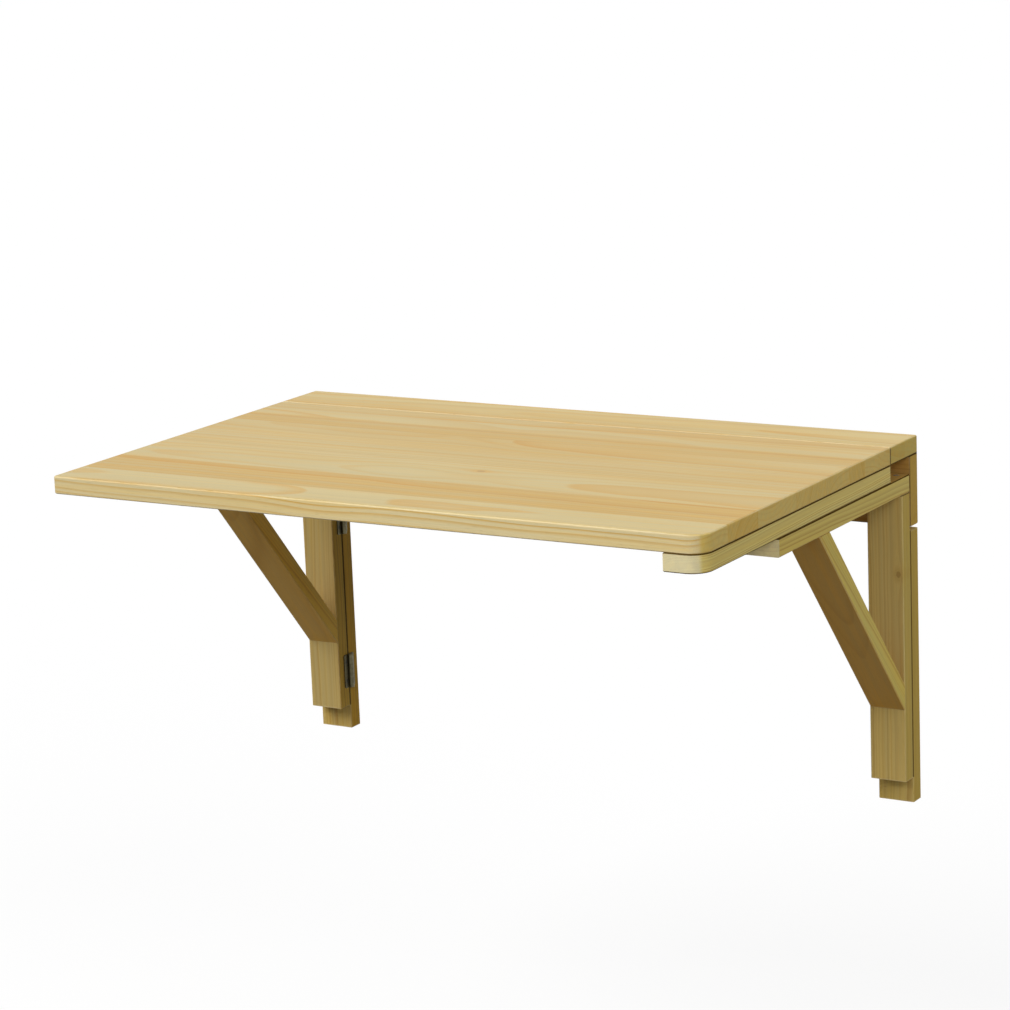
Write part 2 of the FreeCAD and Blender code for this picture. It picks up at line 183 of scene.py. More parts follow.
class Wiring:
    """Adds nodes to one node tree and joins them."""

    def __init__(self, tree: bpy.types.NodeTree) -> None:
        """Works on the given tree."""
        self.tree = tree

    @classmethod
    def afresh(cls, owner: Union[bpy.types.Material, bpy.types.World]) -> "Wiring":
        """Empties the tree of a material or of the world.

        Args:
            owner: The material or the world.

        Returns:
            The wiring of its tree.
        """
        owner.use_nodes = True
        owner.node_tree.nodes.clear()
        return cls(owner.node_tree)

    def node(self, kind: str, inputs: Optional[Inputs] = None, **settings: Any) -> bpy.types.Node:
        """Adds one node.

        Args:
            kind: The node's type name.
            inputs: What each input gets, by name or number.
            **settings: Properties of the node.

        Returns:
            The new node.
        """
        made = self.tree.nodes.new(kind)
        for name, value in settings.items():
            setattr(made, name, value)
        for key, value in (inputs or {}).items():
            self.feed(made.inputs[key], value)
        return made

    def feed(self, socket: bpy.types.NodeSocket, value: Any) -> None:
        """Joins a signal to an input, or sets the input's own value.

        Args:
            socket: The input.
            value: A signal, a list of them for an input that takes several, or a plain value.
        """
        if isinstance(value, list):
            for one in value:
                self.feed(socket, one)
        elif isinstance(value, Signal):
            self.tree.links.new(value.socket, socket)
        else:
            socket.default_value = value

    def signal(
        self, kind: str, inputs: Optional[Inputs] = None, output: Union[int, str] = 0, **settings: Any
    ) -> Signal:
        """Adds one node, as node does, and gives its output of that name or number."""
        return Signal(self, self.node(kind, inputs, **settings).outputs[output])

    def signals(self, made: bpy.types.Node) -> Dict[str, Signal]:
        """All that a node gives out, by name."""
        return {socket.name: Signal(self, socket) for socket in made.outputs}

    def math(self, operation: str, *terms: Value, clamp: bool = False) -> Signal:
        """One sum on numbers, such as MULTIPLY, kept between 0 and 1 where clamp is set."""
        return self.signal("ShaderNodeMath", dict(enumerate(terms)), operation=operation, use_clamp=clamp)

    def vector(self, operation: str, *terms: Value) -> Signal:
        """One sum on vectors.

        Args:
            operation: Name of the sum, such as ADD or LENGTH.
            *terms: Its terms; SCALE takes a vector and a number.

        Returns:
            The vector, or the number where the sum gives one.
        """
        made = self.node("ShaderNodeVectorMath", operation=operation)
        places = [made.inputs[0], made.inputs["Scale"]] if operation == "SCALE" else made.inputs
        for socket, term in zip(places, terms):
            self.feed(socket, term)
        return Signal(self, made.outputs["Value" if operation in ("LENGTH", "DOT_PRODUCT") else "Vector"])

    def together(self, x: Value, y: Value, z: Value) -> Signal:
        """A vector of three numbers."""
        return self.signal("ShaderNodeCombineXYZ", {0: x, 1: y, 2: z})

    def blend(self, share: Value, first: Value, second: Value) -> Signal:
        """Mixes two colours.

        Args:
            share: Share of the second.
            first: The first colour.
            second: The second colour.

        Returns:
            The mixed colour.
        """
        made = self.node("ShaderNodeMix", {0: share}, data_type="RGBA")
        sockets = [socket for socket in made.inputs if socket.type == "RGBA"]
        for socket, colour in zip(sockets, (first, second)):
            self.feed(socket, colour if isinstance(colour, Signal) else (*colour, 1.0))
        return Signal(self, next(socket for socket in made.outputs if socket.type == "RGBA"))

    def bump(self, height: Signal, distance: float, strength: float) -> Signal:
        """A normal that is tipped by a height."""
        return self.signal("ShaderNodeBump", {"Height": height, "Distance": distance, "Strength": strength})

    def object_place(self) -> Signal:
        """Object coordinates."""
        return self.signal("ShaderNodeTexCoord", output="Object")

    def shade(self, inputs: Inputs) -> None:
        """Ends a material with one plain shader."""
        self.node("ShaderNodeOutputMaterial", {"Surface": self.signal("ShaderNodeBsdfPrincipled", inputs)})


# ---- Shared effects ---------------------------------------------------------------
class SharedEffect:
    """A shader node group that several finishes use, built once.

    Attributes:
        title: The group's name.
        vectors: Names of its inputs that take vectors.
        numbers: Names of its inputs that take numbers.
    """

    title: ClassVar[str]
    vectors: ClassVar[Tuple[str, ...]] = ("Vector",)
    numbers: ClassVar[Tuple[str, ...]] = ()

    @classmethod
    def tree(cls) -> bpy.types.NodeTree:
        """The group's tree, made at its first use.

        Returns:
            The tree.
        """
        known = bpy.data.node_groups.get(cls.title)
        if known is not None:
            return known
        made = bpy.data.node_groups.new(cls.title, "ShaderNodeTree")
        for names, kind in ((cls.vectors, "NodeSocketVector"), (cls.numbers, "NodeSocketFloat")):
            for name in names:
                made.interface.new_socket(name=name, in_out="INPUT", socket_type=kind)
        net = Wiring(made)
        results = cls.wire(net, net.signals(net.node("NodeGroupInput")))
        for name, result in results.items():
            kind = "NodeSocketVector" if result.is_vector else "NodeSocketFloat"
            made.interface.new_socket(name=name, in_out="OUTPUT", socket_type=kind)
        net.node("NodeGroupOutput", results)
        return made

    @classmethod
    def wire(cls, net: Wiring, given: Signals) -> Signals:
        """Builds the inside of the group.

        Args:
            net: The group's tree.
            given: Its inputs by name.

        Returns:
            Its outputs by name.
        """
        raise NotImplementedError

    @classmethod
    def place(cls, net: Wiring, **inputs: Value) -> Signals:
        """Puts the group into a material.

        Args:
            net: The material's tree.
            **inputs: What each input gets, its name in lower case with underscores.

        Returns:
            The group's outputs by name.
        """
        named = {spelt(name): value for name, value in inputs.items()}
        return net.signals(net.node("ShaderNodeGroup", named, node_tree=cls.tree()))


class GrowthRings(SharedEffect):
    """Rings of a trunk round its pith, with the grain along X: pale early wood and dark late wood."""

    title = "growth_rings"
    numbers = ("Pith Across", "Pith Depth", "Slope", "Ring Spacing", "Wander", "Sharpness", "Seed")
    drift = (0.37, 0.61, 0.83)
    sway_waves = (4.2, 13.0, 13.0)
    sway_roughness = 0.45
    uneven_waves = 0.43
    unevenness = 2.1
    late_start = 0.18
    late_end = 0.9
    weakest_ring = 0.4

    @classmethod
    def wire(cls, net: Wiring, given: Signals) -> Signals:
        """Measures the way out from the pith and cuts it into rings.

        Args:
            net: The group's tree.
            given: Its inputs by name.

        Returns:
            Its outputs by name.
        """
        seed = given["Seed"]
        x, y, z = given["Vector"].apart()
        waves = given["Vector"] * cls.sway_waves + seed.along(cls.drift)
        clouds = waves.noise(roughness=cls.sway_roughness, output=1)
        _, sway_across, sway_depth = ((clouds - HALF) * given["Wander"]).apart()
        across = y - given["Pith Across"] + sway_across
        depth = (z - given["Pith Depth"]) + (sway_depth + x * given["Slope"])
        even = net.together(0.0, across, depth).length() / given["Ring Spacing"]
        inputs = {"W": even + seed, "Scale": cls.uneven_waves, "Detail": 1.0}
        uneven = net.signal("ShaderNodeTexNoise", inputs, noise_dimensions="1D")
        phase = even + uneven * cls.unevenness
        share = phase.sum("FRACT")
        rise = share.remap(cls.late_start, cls.late_end).sum("POWER", given["Sharpness"])
        drop = share.remap(cls.late_end, 1.0, 1.0, 0.0)
        number = phase.sum("FLOOR") + seed
        chance = net.signal("ShaderNodeTexWhiteNoise", {"W": number}, noise_dimensions="1D")
        return {"Late Wood": rise * drop * chance.remap(bottom=cls.weakest_ring)}


class WoodFibre(SharedEffect):
    """Fine fibres and the soft streaks between them, with the grain along X."""

    title = "wood_fibre"
    numbers = ("Seed",)
    drift = (0.7, 0.3, 0.5)
    fibre_waves = (24.0, 1300.0, 1300.0)
    streak_waves = (2.6, 150.0, 150.0)
    fleck_waves = (90.0, 1900.0, 1900.0)
    fleck_range = (0.7, 0.8)

    @classmethod
    def wire(cls, net: Wiring, given: Signals) -> Signals:
        """Reads noise that is drawn out along the grain, at three sizes.

        Args:
            net: The group's tree.
            given: Its inputs by name.

        Returns:
            Its outputs by name.
        """
        shifted = given["Vector"] + given["Seed"].along(cls.drift)
        return {
            "Fibre": (shifted * cls.fibre_waves).noise(roughness=0.6),
            "Streak": (shifted * cls.streak_waves).noise(roughness=0.55),
            "Fleck": (shifted * cls.fleck_waves).noise(detail=0.0).remap(*cls.fleck_range),
        }


class EndGrain(SharedEffect):
    """Where a board is cut across its grain, from the normal in the board's own frame."""

    title = "end_grain"
    vectors = ("Normal", "Vector")
    square_range = (0.45, 0.85)
    pore_waves = (300.0, 2400.0, 2400.0)

    @classmethod
    def wire(cls, net: Wiring, given: Signals) -> Signals:
        """Compares the normal with the grain and reads the open pores.

        Args:
            net: The group's tree.
            given: Its inputs by name.

        Returns:
            Its outputs by name.
        """
        along, _, _ = given["Normal"].apart()
        mask = abs(along).remap(*cls.square_range)
        return {"Mask": mask, "Pores": mask * (given["Vector"] * cls.pore_waves).noise(detail=1.0)}


class FaceTint(SharedEffect):
    """How a board's ends, edges and faces differ in tone, and the light and shade painted onto each side,
    from the normal in the board's own frame.
    """

    title = "face_tint"
    vectors = ("Normal", "End Tint", "Edge Tint", "Face Tint")
    square_range = (0.6, 0.8)

    @classmethod
    def wire(cls, net: Wiring, given: Signals) -> Signals:
        """Weighs the tints by how square the surface is to each of the board's own axes.

        Args:
            net: The group's tree.
            given: Its inputs by name.

        Returns:
            Its outputs by name.
        """
        shares = [part.remap(*cls.square_range) for part in abs(given["Normal"]).apart()]
        tint: Value = WHITE
        for share, name in zip(shares, ("End Tint", "Edge Tint", "Face Tint")):
            tint = (given[name] - WHITE) * share + tint
        return {"Tint": tint, "Edge": shares[1]}


class JointShade(SharedEffect):
    """Painted shade in the joint where a side of the board meets its neighbour: a dark rim where shadow falls
    in the gap.
    """

    title = "joint_shade"
    vectors = ("Vector", "Normal", "Half Size", "Low Sides", "High Sides")
    numbers = ("Start", "Width")
    square_range = (0.8, 0.95)
    rim_range = (0.75, 1.5)

    @classmethod
    def wire(cls, net: Wiring, given: Signals) -> Signals:
        """Marks the rim beside each side that is joined, on the faces square to it.

        Args:
            net: The group's tree.
            given: Its inputs by name.

        Returns:
            Its outputs by name.
        """
        beside = [part.remap(*cls.square_range, 1.0, 0.0) for part in abs(given["Normal"]).apart()]
        high = (given["Half Size"] - given["Vector"]).apart()
        low = (given["Half Size"] + given["Vector"]).apart()
        joined = given["High Sides"].apart() + given["Low Sides"].apart()
        mask: Optional[Signal] = None
        for distance, join, square in zip(high + low, joined, beside * 2):
            near = (distance / given["Width"]).remap(*cls.rim_range, 1.0, 0.0) * join * square
            mask = near if mask is None else mask.maximum(near)
        along, _, _ = given["Vector"].apart()
        return {"Mask": mask * along.sum("GREATER_THAN", given["Start"])}


class ArrisWear(SharedEffect):
    """Rubbed varnish on the long edges of a board, and a painted highlight along them, from how near two of
    its faces are.
    """

    title = "arris_wear"
    vectors = ("Vector", "Half Size")
    numbers = ("Width", "Seed")
    drift = (0.21, 0.47, 0.93)
    patch_waves = 38.0
    patch_range = (0.22, 0.57)

    @classmethod
    def wire(cls, net: Wiring, given: Signals) -> Signals:
        """Takes the second smallest way to a face of the board's box.

        Args:
            net: The group's tree.
            given: Its inputs by name.

        Returns:
            Its outputs by name.
        """
        x, y, z = (given["Half Size"] - abs(given["Vector"])).apart()
        second = x.maximum(y).minimum(x.minimum(y).maximum(z))
        shifted = given["Vector"] + given["Seed"].along(cls.drift)
        patches = shifted.noise(cls.patch_waves, detail=3.0, roughness=0.6)
        return {"Mask": (second / given["Width"]).rest() * patches.remap(*cls.patch_range)}


class BroadTone(SharedEffect):
    """Slow changes of tone along a board, such as sapwood that runs into heartwood."""

    title = "broad_tone"
    numbers = ("Seed",)
    drift = (0.91, 0.17, 0.39)
    waves = (3.4, 17.0, 17.0)

    @classmethod
    def wire(cls, net: Wiring, given: Signals) -> Signals:
        """Reads noise that is several hands long and a few fingers wide."""
        return {"Tone": (given["Vector"] * cls.waves + given["Seed"].along(cls.drift)).noise(detail=1.5)}


class GrainDip(SharedEffect):
    """Grain that dips through a board's thickness where a branch grew above it."""

    title = "grain_dip"
    numbers = ("Place", "Reach", "Drop")

    @classmethod
    def wire(cls, net: Wiring, given: Signals) -> Signals:
        """Lifts the rings' coordinates in a soft hump along the grain.

        Args:
            net: The group's tree.
            given: Its inputs by name.

        Returns:
            Its outputs by name.
        """
        x, _, _ = given["Vector"].apart()
        lift = ((x - given["Place"]) / given["Reach"]).hump() * given["Drop"]
        return {"Vector": given["Vector"] + net.together(0.0, 0.0, lift)}


class PinKnot(SharedEffect):
    """A small knot through a board: a dark core, and grain that flows round it."""

    title = "pin_knot"
    vectors = ("Vector", "Centre")
    numbers = ("Radius",)
    ragged_waves = 420.0
    raggedness = 0.5
    core_stretch = 0.72
    core_range = (0.75, 1.05)
    halo_range = (0.9, 3.2)
    flow_stretch = 0.3
    flow_reach = 2.4
    sink = 0.6
    softening = 0.0004

    @classmethod
    def wire(cls, net: Wiring, given: Signals) -> Signals:
        """Bends the grain away from the knot's middle and marks its core.

        Args:
            net: The group's tree.
            given: Its inputs by name.

        Returns:
            Its outputs by name.
        """
        x, y, _ = (given["Vector"] - given["Centre"]).apart()
        share = net.together(x * cls.core_stretch, y, 0.0).length() / given["Radius"]
        ragged = share + (given["Vector"].noise(cls.ragged_waves) - 0.5) * cls.raggedness
        away = net.together(x * cls.flow_stretch, y, 0.0).length()
        push = (away / (given["Radius"] * cls.flow_reach)).hump() * given["Radius"]
        side = y / (away + cls.softening)
        return {
            "Vector": given["Vector"] - net.together(0.0, push * side, push * cls.sink),
            "Core": ragged.remap(*cls.core_range, 1.0, 0.0),
            "Halo": ragged.remap(*cls.halo_range, 1.0, 0.0),
        }


class MetalMarks(SharedEffect):
    """Handling marks on metal: cloudy tarnish, fine brush lines and small rubbed spots."""

    title = "metal_marks"
    numbers = ("Seed",)
    drift = (0.3, 0.9, 0.6)
    brush_waves = (3200.0, 3200.0, 160.0)
    tarnish_waves = 230.0
    tarnish_range = (0.35, 0.68)
    spot_waves = 900.0
    spot_range = (0.58, 0.72)

    @classmethod
    def wire(cls, net: Wiring, given: Signals) -> Signals:
        """Reads noise at the three sizes.

        Args:
            net: The group's tree.
            given: Its inputs by name.

        Returns:
            Its outputs by name.
        """
        shifted = given["Vector"] + given["Seed"].along(cls.drift)
        return {
            "Tarnish": shifted.noise(cls.tarnish_waves, detail=3.0, roughness=0.6).remap(*cls.tarnish_range),
            "Brush": (shifted * cls.brush_waves).noise(detail=1.0),
            "Rubbed": shifted.noise(cls.spot_waves, detail=3.0, roughness=0.65).remap(*cls.spot_range),
        }


# ---- Boards and their finishes ----------------------------------------------------
class GrainRun(Enum):
    """Which way a board's grain, width and thickness run, as three unit vectors."""

    ALONG_TABLE = ((1.0, 0.0, 0.0), (0.0, 1.0, 0.0), (0.0, 0.0, 1.0))
    FROM_WALL = ((0.0, -1.0, 0.0), (1.0, 0.0, 0.0), (0.0, 0.0, 1.0))
    UPRIGHT = ((0.0, 0.0, 1.0), (1.0, 0.0, 0.0), (0.0, 1.0, 0.0))
    RAIL = ((1.0, 0.0, 0.0), (0.0, 0.0, 1.0), (0.0, -1.0, 0.0))


@dataclass(frozen=True)
class BoardFrame:
    """Where a board is, and how it meets its neighbours.

    Attributes:
        turn: The way from the row frame to the board's own.
        middle: Its middle.
        half: Its half sizes.
        joins: For each side that meets a neighbour, the way out of that side in the row frame.
        joint_start: Where along the board its joints start.
    """

    turn: Matrix
    middle: Vector
    half: Vector
    joins: Tuple[Triple, ...] = ()
    joint_start: float = -1.0

    @classmethod
    def of_node(cls, node: str, run: GrainRun, joins: Sequence[Triple], joint_start: float) -> "BoardFrame":
        """The frame of a board that lies square to the table.

        Args:
            node: Name of the board's node.
            run: Which way its grain runs.
            joins: For each side that meets a neighbour, the way out of that side in the row frame.
            joint_start: Where along the grain, in the row frame, the joints start.

        Returns:
            The board's frame.
        """
        low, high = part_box(node)
        turn = Matrix(run.value)
        half = Vector([abs(number) / 2 for number in turn @ (high - low)])
        middle = (low + high) / 2
        return cls(turn, middle, half, tuple(joins), joint_start - (turn @ middle).x)

    def joined_sides(self, sign: float) -> Vector:
        """1 for each of the board's own axes whose end of that sign is joined, and 0 for the others."""
        ways = [self.turn @ Vector(join) for join in self.joins]
        return Vector([float(any(way[axis] * sign > 0.5 for way in ways)) for axis in range(3)])

    def inner(self, point: Triple) -> Vector:
        """A point of the row frame, in the board's own frame."""
        return self.turn @ (Vector(point) - self.middle)

    def coordinates(self, net: Wiring) -> Signal:
        """Object coordinates in the board's own frame."""
        inputs = {"Location": -(self.turn @ self.middle), "Rotation": self.turn.to_euler()}
        return net.signal("ShaderNodeMapping", {"Vector": net.object_place(), **inputs})

    def normal(self, net: Wiring) -> Signal:
        """The surface's normal in the board's own frame."""
        inputs = {0: net.signal("ShaderNodeTexCoord", output="Normal"), "Rotation": self.turn.to_euler()}
        return net.signal("ShaderNodeMapping", inputs, vector_type="VECTOR")


@dataclass(frozen=True)
class Knot:
    """A small knot: a point of the row frame on its axis, its radius, and how dark it is from 0 to 1."""

    point: Triple
    radius: float
    darkness: float


@dataclass(frozen=True)
class Dip:
    """A place where the grain dips: its place and reach along the board, and how deep it is."""

    place: float
    reach: float
    drop: float


@dataclass(frozen=True)
class Heart:
    """Where a board was in its trunk: the pith beside its middle and behind it, and how the rings lie."""

    across: float
    depth: float
    slope: float = 0.0
    spacing: float = 0.0042
    wander: float = 0.009
    sharpness: float = 3.0


@dataclass(frozen=True)
class Stave:
    """One length of timber in a glued panel.

    Attributes:
        edge: Where it ends across the panel, in the row frame.
        tone: How light it is.
        warmth: From 0, cream, to 1, warm.
        heart: Its place in the trunk.
    """

    edge: float
    tone: float
    warmth: float
    heart: Heart


@dataclass(frozen=True)
class Tints:
    """What a board's colour is multiplied by on its ends, edges and faces. The default darkens the end grain,
    which is the wood's own tone; the values that each board is given paint light and shade onto its sides,
    lighter where light falls and darker where shade falls.
    """

    end: Colour = (0.9, 0.87, 0.78)
    edge: Colour = WHITE
    face: Colour = WHITE


@dataclass(frozen=True)
class Timber:
    """The wood that one board is cut from.

    Attributes:
        heart: Its place in the trunk, and how its rings lie.
        seed: Number that sets its figure apart from the other boards'.
        warmth: From 0, cream, to 1, warm, where it isn't glued up.
        tone: How light it is, where it isn't glued up.
        tints: How its ends, edges and faces differ in tone, with light and shade painted onto them.
        staves: The staves that it is glued up from, in order across it.
        knots: Its knots.
        dips: The places where its grain dips.
        figure: How strongly its rings show.
        grime: How strongly shade is painted on the arrises beside its joints.
    """

    heart: Heart
    seed: float
    warmth: float = 0.4
    tone: float = 1.0
    tints: Tints = Tints()
    staves: Tuple[Stave, ...] = ()
    knots: Tuple[Knot, ...] = ()
    dips: Tuple[Dip, ...] = ()
    figure: float = 1.0
    grime: float = 0.95


@dataclass(frozen=True)
class StavePlan:
    """The staves of one panel, read as steps across the board."""

    board: BoardFrame
    staves: Tuple[Stave, ...]
    glue_width: float = 0.0005
    pith_reach: float = 0.4

    def starts(self) -> List[float]:
        """Where each stave starts, as a share of the board's width, with 1.0 at the end."""
        inner = [self.board.turn[1][1] * (stave.edge - self.board.middle[1]) for stave in self.staves[:-1]]
        return [0.0] + [edge / (2 * self.board.half[1]) + 0.5 for edge in inner] + [1.0]

    def steps(self, place: Signal, stops: Sequence[Tuple[float, Triple]]) -> Tuple[Signal, Signal, Signal]:
        """Three numbers that step across the board.

        Args:
            place: The board's coordinates.
            stops: Each step's start, as a share of the width, and its numbers from 0 to 1.

        Returns:
            The numbers.
        """
        _, across, _ = place.apart()
        share = place.net.math("ADD", across / (2 * self.board.half[1]), 0.5, clamp=True)
        made = place.net.node("ShaderNodeValToRGB", {0: share})
        made.color_ramp.interpolation = "CONSTANT"
        elements = made.color_ramp.elements
        while len(elements) > 1:
            elements.remove(elements[-1])
        elements[0].position = 0.0
        elements[0].color = (*stops[0][1], 1.0)
        for start, numbers in stops[1:]:
            elements.new(start).color = (*numbers, 1.0)
        return Signal(place.net, made.outputs[0]).apart()

    def tones(self, place: Signal) -> Tuple[Signal, Signal, Signal]:
        """Each stave's warmth and tone, and the glue lines between them.

        Args:
            place: The board's coordinates.

        Returns:
            Warmth, tone and glue line.
        """
        starts = self.starts()
        stops = [(start, (stave.warmth, stave.tone / 2, 0.0)) for start, stave in zip(starts, self.staves)]
        warmth, half_tone, _ = self.steps(place, stops)
        thin = self.glue_width / (4 * self.board.half[1])
        bare = (0.0, 0.0, 0.0)
        lines = [(0.0, bare)]
        for start in starts[1:-1]:
            lines += [(start - thin, WHITE), (start + thin, bare)]
        glue, _, _ = self.steps(place, lines)
        return warmth, half_tone * 2.0, glue

    def trunk(self, place: Signal) -> Dict[str, Signal]:
        """Where each stave's pith is, in the board's own frame.

        Args:
            place: The board's coordinates.

        Returns:
            The inputs of the growth rings that change from stave to stave.
        """
        starts = self.starts()
        reach = 2 * self.pith_reach
        stops = []
        for start, end, stave in zip(starts, starts[1:], self.staves):
            middle = ((start + end) / 2 - 0.5) * 2 * self.board.half[1]
            numbers = (middle + stave.heart.across, stave.heart.depth, stave.heart.slope)
            stops.append((start, tuple(0.5 + number / reach for number in numbers)))
        shares = self.steps(place, stops)
        numbers = [place.net.math("MULTIPLY_ADD", share, reach, -self.pith_reach) for share in shares]
        return dict(zip(("pith_across", "pith_depth", "slope"), numbers))


@dataclass(frozen=True)
class Pine:
    """Varnished pine: its colours from cream to warm, how far each mark shows, and its varnish."""

    cream: Colour = (0.65, 0.51, 0.205)
    warm: Colour = (0.60, 0.40, 0.085)
    late_cream: Colour = (0.48, 0.29, 0.085)
    late_warm: Colour = (0.44, 0.225, 0.045)
    knot: Colour = (0.20, 0.085, 0.02)
    # Colour of the rubbed arrises, which also paints a highlight along them.
    rubbed: Colour = (0.78, 0.68, 0.45)
    # Colour of the shade painted into the gaps where boards meet.
    joint: Colour = (0.067, 0.032, 0.0)
    figure: float = 0.72
    edge_figure: float = 1.0
    end_figure: float = 0.6
    end_warmth: float = 0.55
    broad_swing: float = 0.9
    streaks: float = 0.9
    streak_light: Range = (0.93, 1.05)
    fibre_light: Range = (0.955, 1.03)
    fleck_light: float = 0.9
    halo_share: float = 0.3
    glue_share: float = 0.3
    pore_share: float = 0.25
    rubbing: float = 0.45
    arris_width: float = 0.0016
    joint_width: float = 0.001
    roughness: float = 0.36
    late_dullness: float = 0.06
    fibre_dullness: Range = (-0.04, 0.05)
    end_dullness: float = 0.16
    wear_dullness: float = 0.12
    coat: float = 0.10
    coat_roughness: float = 0.12
    specular: float = 0.10
    grain_height: float = 0.00006
    grain_strength: float = 0.6
    late_depth: float = 0.5
    pore_depth: float = 1.2

    def make(self, name: str, board: BoardFrame, timber: Timber) -> bpy.types.Material:
        """Makes the material of one board.

        Args:
            name: The material's name.
            board: The board's frame.
            timber: The wood that it is cut from.

        Returns:
            The material.
        """
        made = bpy.data.materials.new(name)
        net = Wiring.afresh(made)
        heart = timber.heart
        tints = timber.tints
        place = board.coordinates(net)
        layers: List[Tuple[Signal, Colour]] = []
        for knot in timber.knots:
            bent = PinKnot.place(net, vector=place, centre=board.inner(knot.point), radius=knot.radius)
            place = bent["Vector"]
            layers.append((bent["Halo"] * self.halo_share, self.late_warm))
            layers.append((bent["Core"] * knot.darkness, self.knot))
        flow = place
        for dip in timber.dips:
            flow = GrainDip.place(net, vector=flow, **vars(dip))["Vector"]
        trunk = {"pith_across": heart.across, "pith_depth": heart.depth, "slope": heart.slope}
        warmth: Value = timber.warmth
        tone: Value = timber.tone
        if timber.staves:
            plan = StavePlan(board, timber.staves)
            warmth, tone, glue = plan.tones(place)
            layers.append((glue * self.glue_share, self.late_warm))
            trunk = plan.trunk(place)
        late = GrowthRings.place(
            net,
            vector=flow,
            ring_spacing=heart.spacing,
            wander=heart.wander,
            sharpness=heart.sharpness,
            seed=timber.seed,
            **trunk,
        )["Late Wood"]
        fibre = WoodFibre.place(net, vector=place, seed=timber.seed)
        broad = BroadTone.place(net, vector=place, seed=timber.seed)["Tone"]
        normal = board.normal(net)
        end = EndGrain.place(net, normal=normal, vector=place)
        ends = end["Mask"]
        sides = FaceTint.place(
            net, normal=normal, end_tint=tints.end, edge_tint=tints.edge, face_tint=tints.face
        )
        joint = JointShade.place(
            net,
            vector=place,
            normal=normal,
            half_size=board.half,
            low_sides=board.joined_sides(-1.0),
            high_sides=board.joined_sides(1.0),
            start=board.joint_start,
            width=self.joint_width,
        )["Mask"]
        if timber.staves:
            joint = joint * ends
        inputs = {"half_size": board.half, "width": self.arris_width, "seed": timber.seed}
        wear_and_painted_highlight = ArrisWear.place(net, vector=place, **inputs)["Mask"]

        swing = (broad - 0.5) * self.broad_swing
        swing = net.math("MULTIPLY_ADD", fibre["Streak"] - 0.5, self.streaks, swing)
        warm = net.math("ADD", warmth, swing, clamp=True) * ends.remap(bottom=1.0, top=self.end_warmth)
        # The side tints paint light and shade onto each side of the board.
        early = net.blend(warm, self.cream, self.warm) * sides["Tint"]
        half_tint = net.vector("MULTIPLY_ADD", sides["Tint"], HALF, HALF)
        late_colour = net.blend(warm, self.late_cream, self.late_warm) * half_tint
        figure = sides["Edge"].remap(bottom=self.figure * timber.figure, top=self.edge_figure * timber.figure)
        figure = figure * ends.remap(bottom=1.0, top=self.end_figure)
        light = fibre["Streak"].remap(*NOISE_MIDDLE, *self.streak_light)
        light = light * fibre["Fibre"].remap(*NOISE_MIDDLE, *self.fibre_light)
        light = light * fibre["Fleck"].remap(bottom=1.0, top=self.fleck_light) * tone
        colour = net.blend(late * figure, early, late_colour) * light
        layers.append((end["Pores"] * self.pore_share, self.late_warm))
        # Lightens the arrises: rubbed varnish, and a painted highlight along them.
        layers.append((wear_and_painted_highlight * self.rubbing, self.rubbed))
        # Paints shade on the rims beside the joints, where shadow falls in the gaps.
        layers.append((joint * timber.grime, self.joint))
        for share, over in layers:
            colour = net.blend(share, colour, over)

        dull = late * self.late_dullness + fibre["Fibre"].remap(*NOISE_SPREAD, *self.fibre_dullness)
        dull = dull + ends * self.end_dullness + wear_and_painted_highlight * self.wear_dullness + self.roughness
        height = fibre["Fibre"] - late * self.late_depth - end["Pores"] * self.pore_depth
        # Coat and sheen are left off where shade is painted, so that it stays dark.
        outside_painted_shade = joint.rest()
        net.shade({
            "Base Color": colour,
            "Roughness": dull,
            "Normal": net.bump(height, self.grain_height, self.grain_strength),
            "Coat Weight": outside_painted_shade * self.coat,
            "Coat Roughness": self.coat_roughness,
            "Specular IOR Level": outside_painted_shade * self.specular,
        })
        return made


@dataclass(frozen=True)
class Beech:
    """Bare beech of the dowels: close grain with short dark flecks."""

    name: str = "beech"
    pale: Colour = (0.58, 0.37, 0.20)
    dark: Colour = (0.40, 0.22, 0.105)
    streak_range: Range = (0.3, 0.8)
    roughness: Range = (0.54, 0.66)
    grain_height: float = 0.00005
    grain_strength: float = 0.5
    seed: float = 41.0

    def make(self) -> bpy.types.Material:
        """Makes the material.

        Returns:
            The material.
        """
        made = bpy.data.materials.new(self.name)
        net = Wiring.afresh(made)
        turn = Matrix(GrainRun.UPRIGHT.value).to_euler()
        place = net.signal("ShaderNodeMapping", {"Vector": net.object_place(), "Rotation": turn})
        fibre = WoodFibre.place(net, vector=place, seed=self.seed)
        flecks = fibre["Fleck"].maximum(fibre["Streak"].remap(*self.streak_range))
        net.shade({
            "Base Color": net.blend(flecks, self.pale, self.dark),
            "Roughness": fibre["Fibre"].remap(*NOISE_SPREAD, *self.roughness),
            "Normal": net.bump(fibre["Fibre"], self.grain_height, self.grain_strength),
        })
        return made


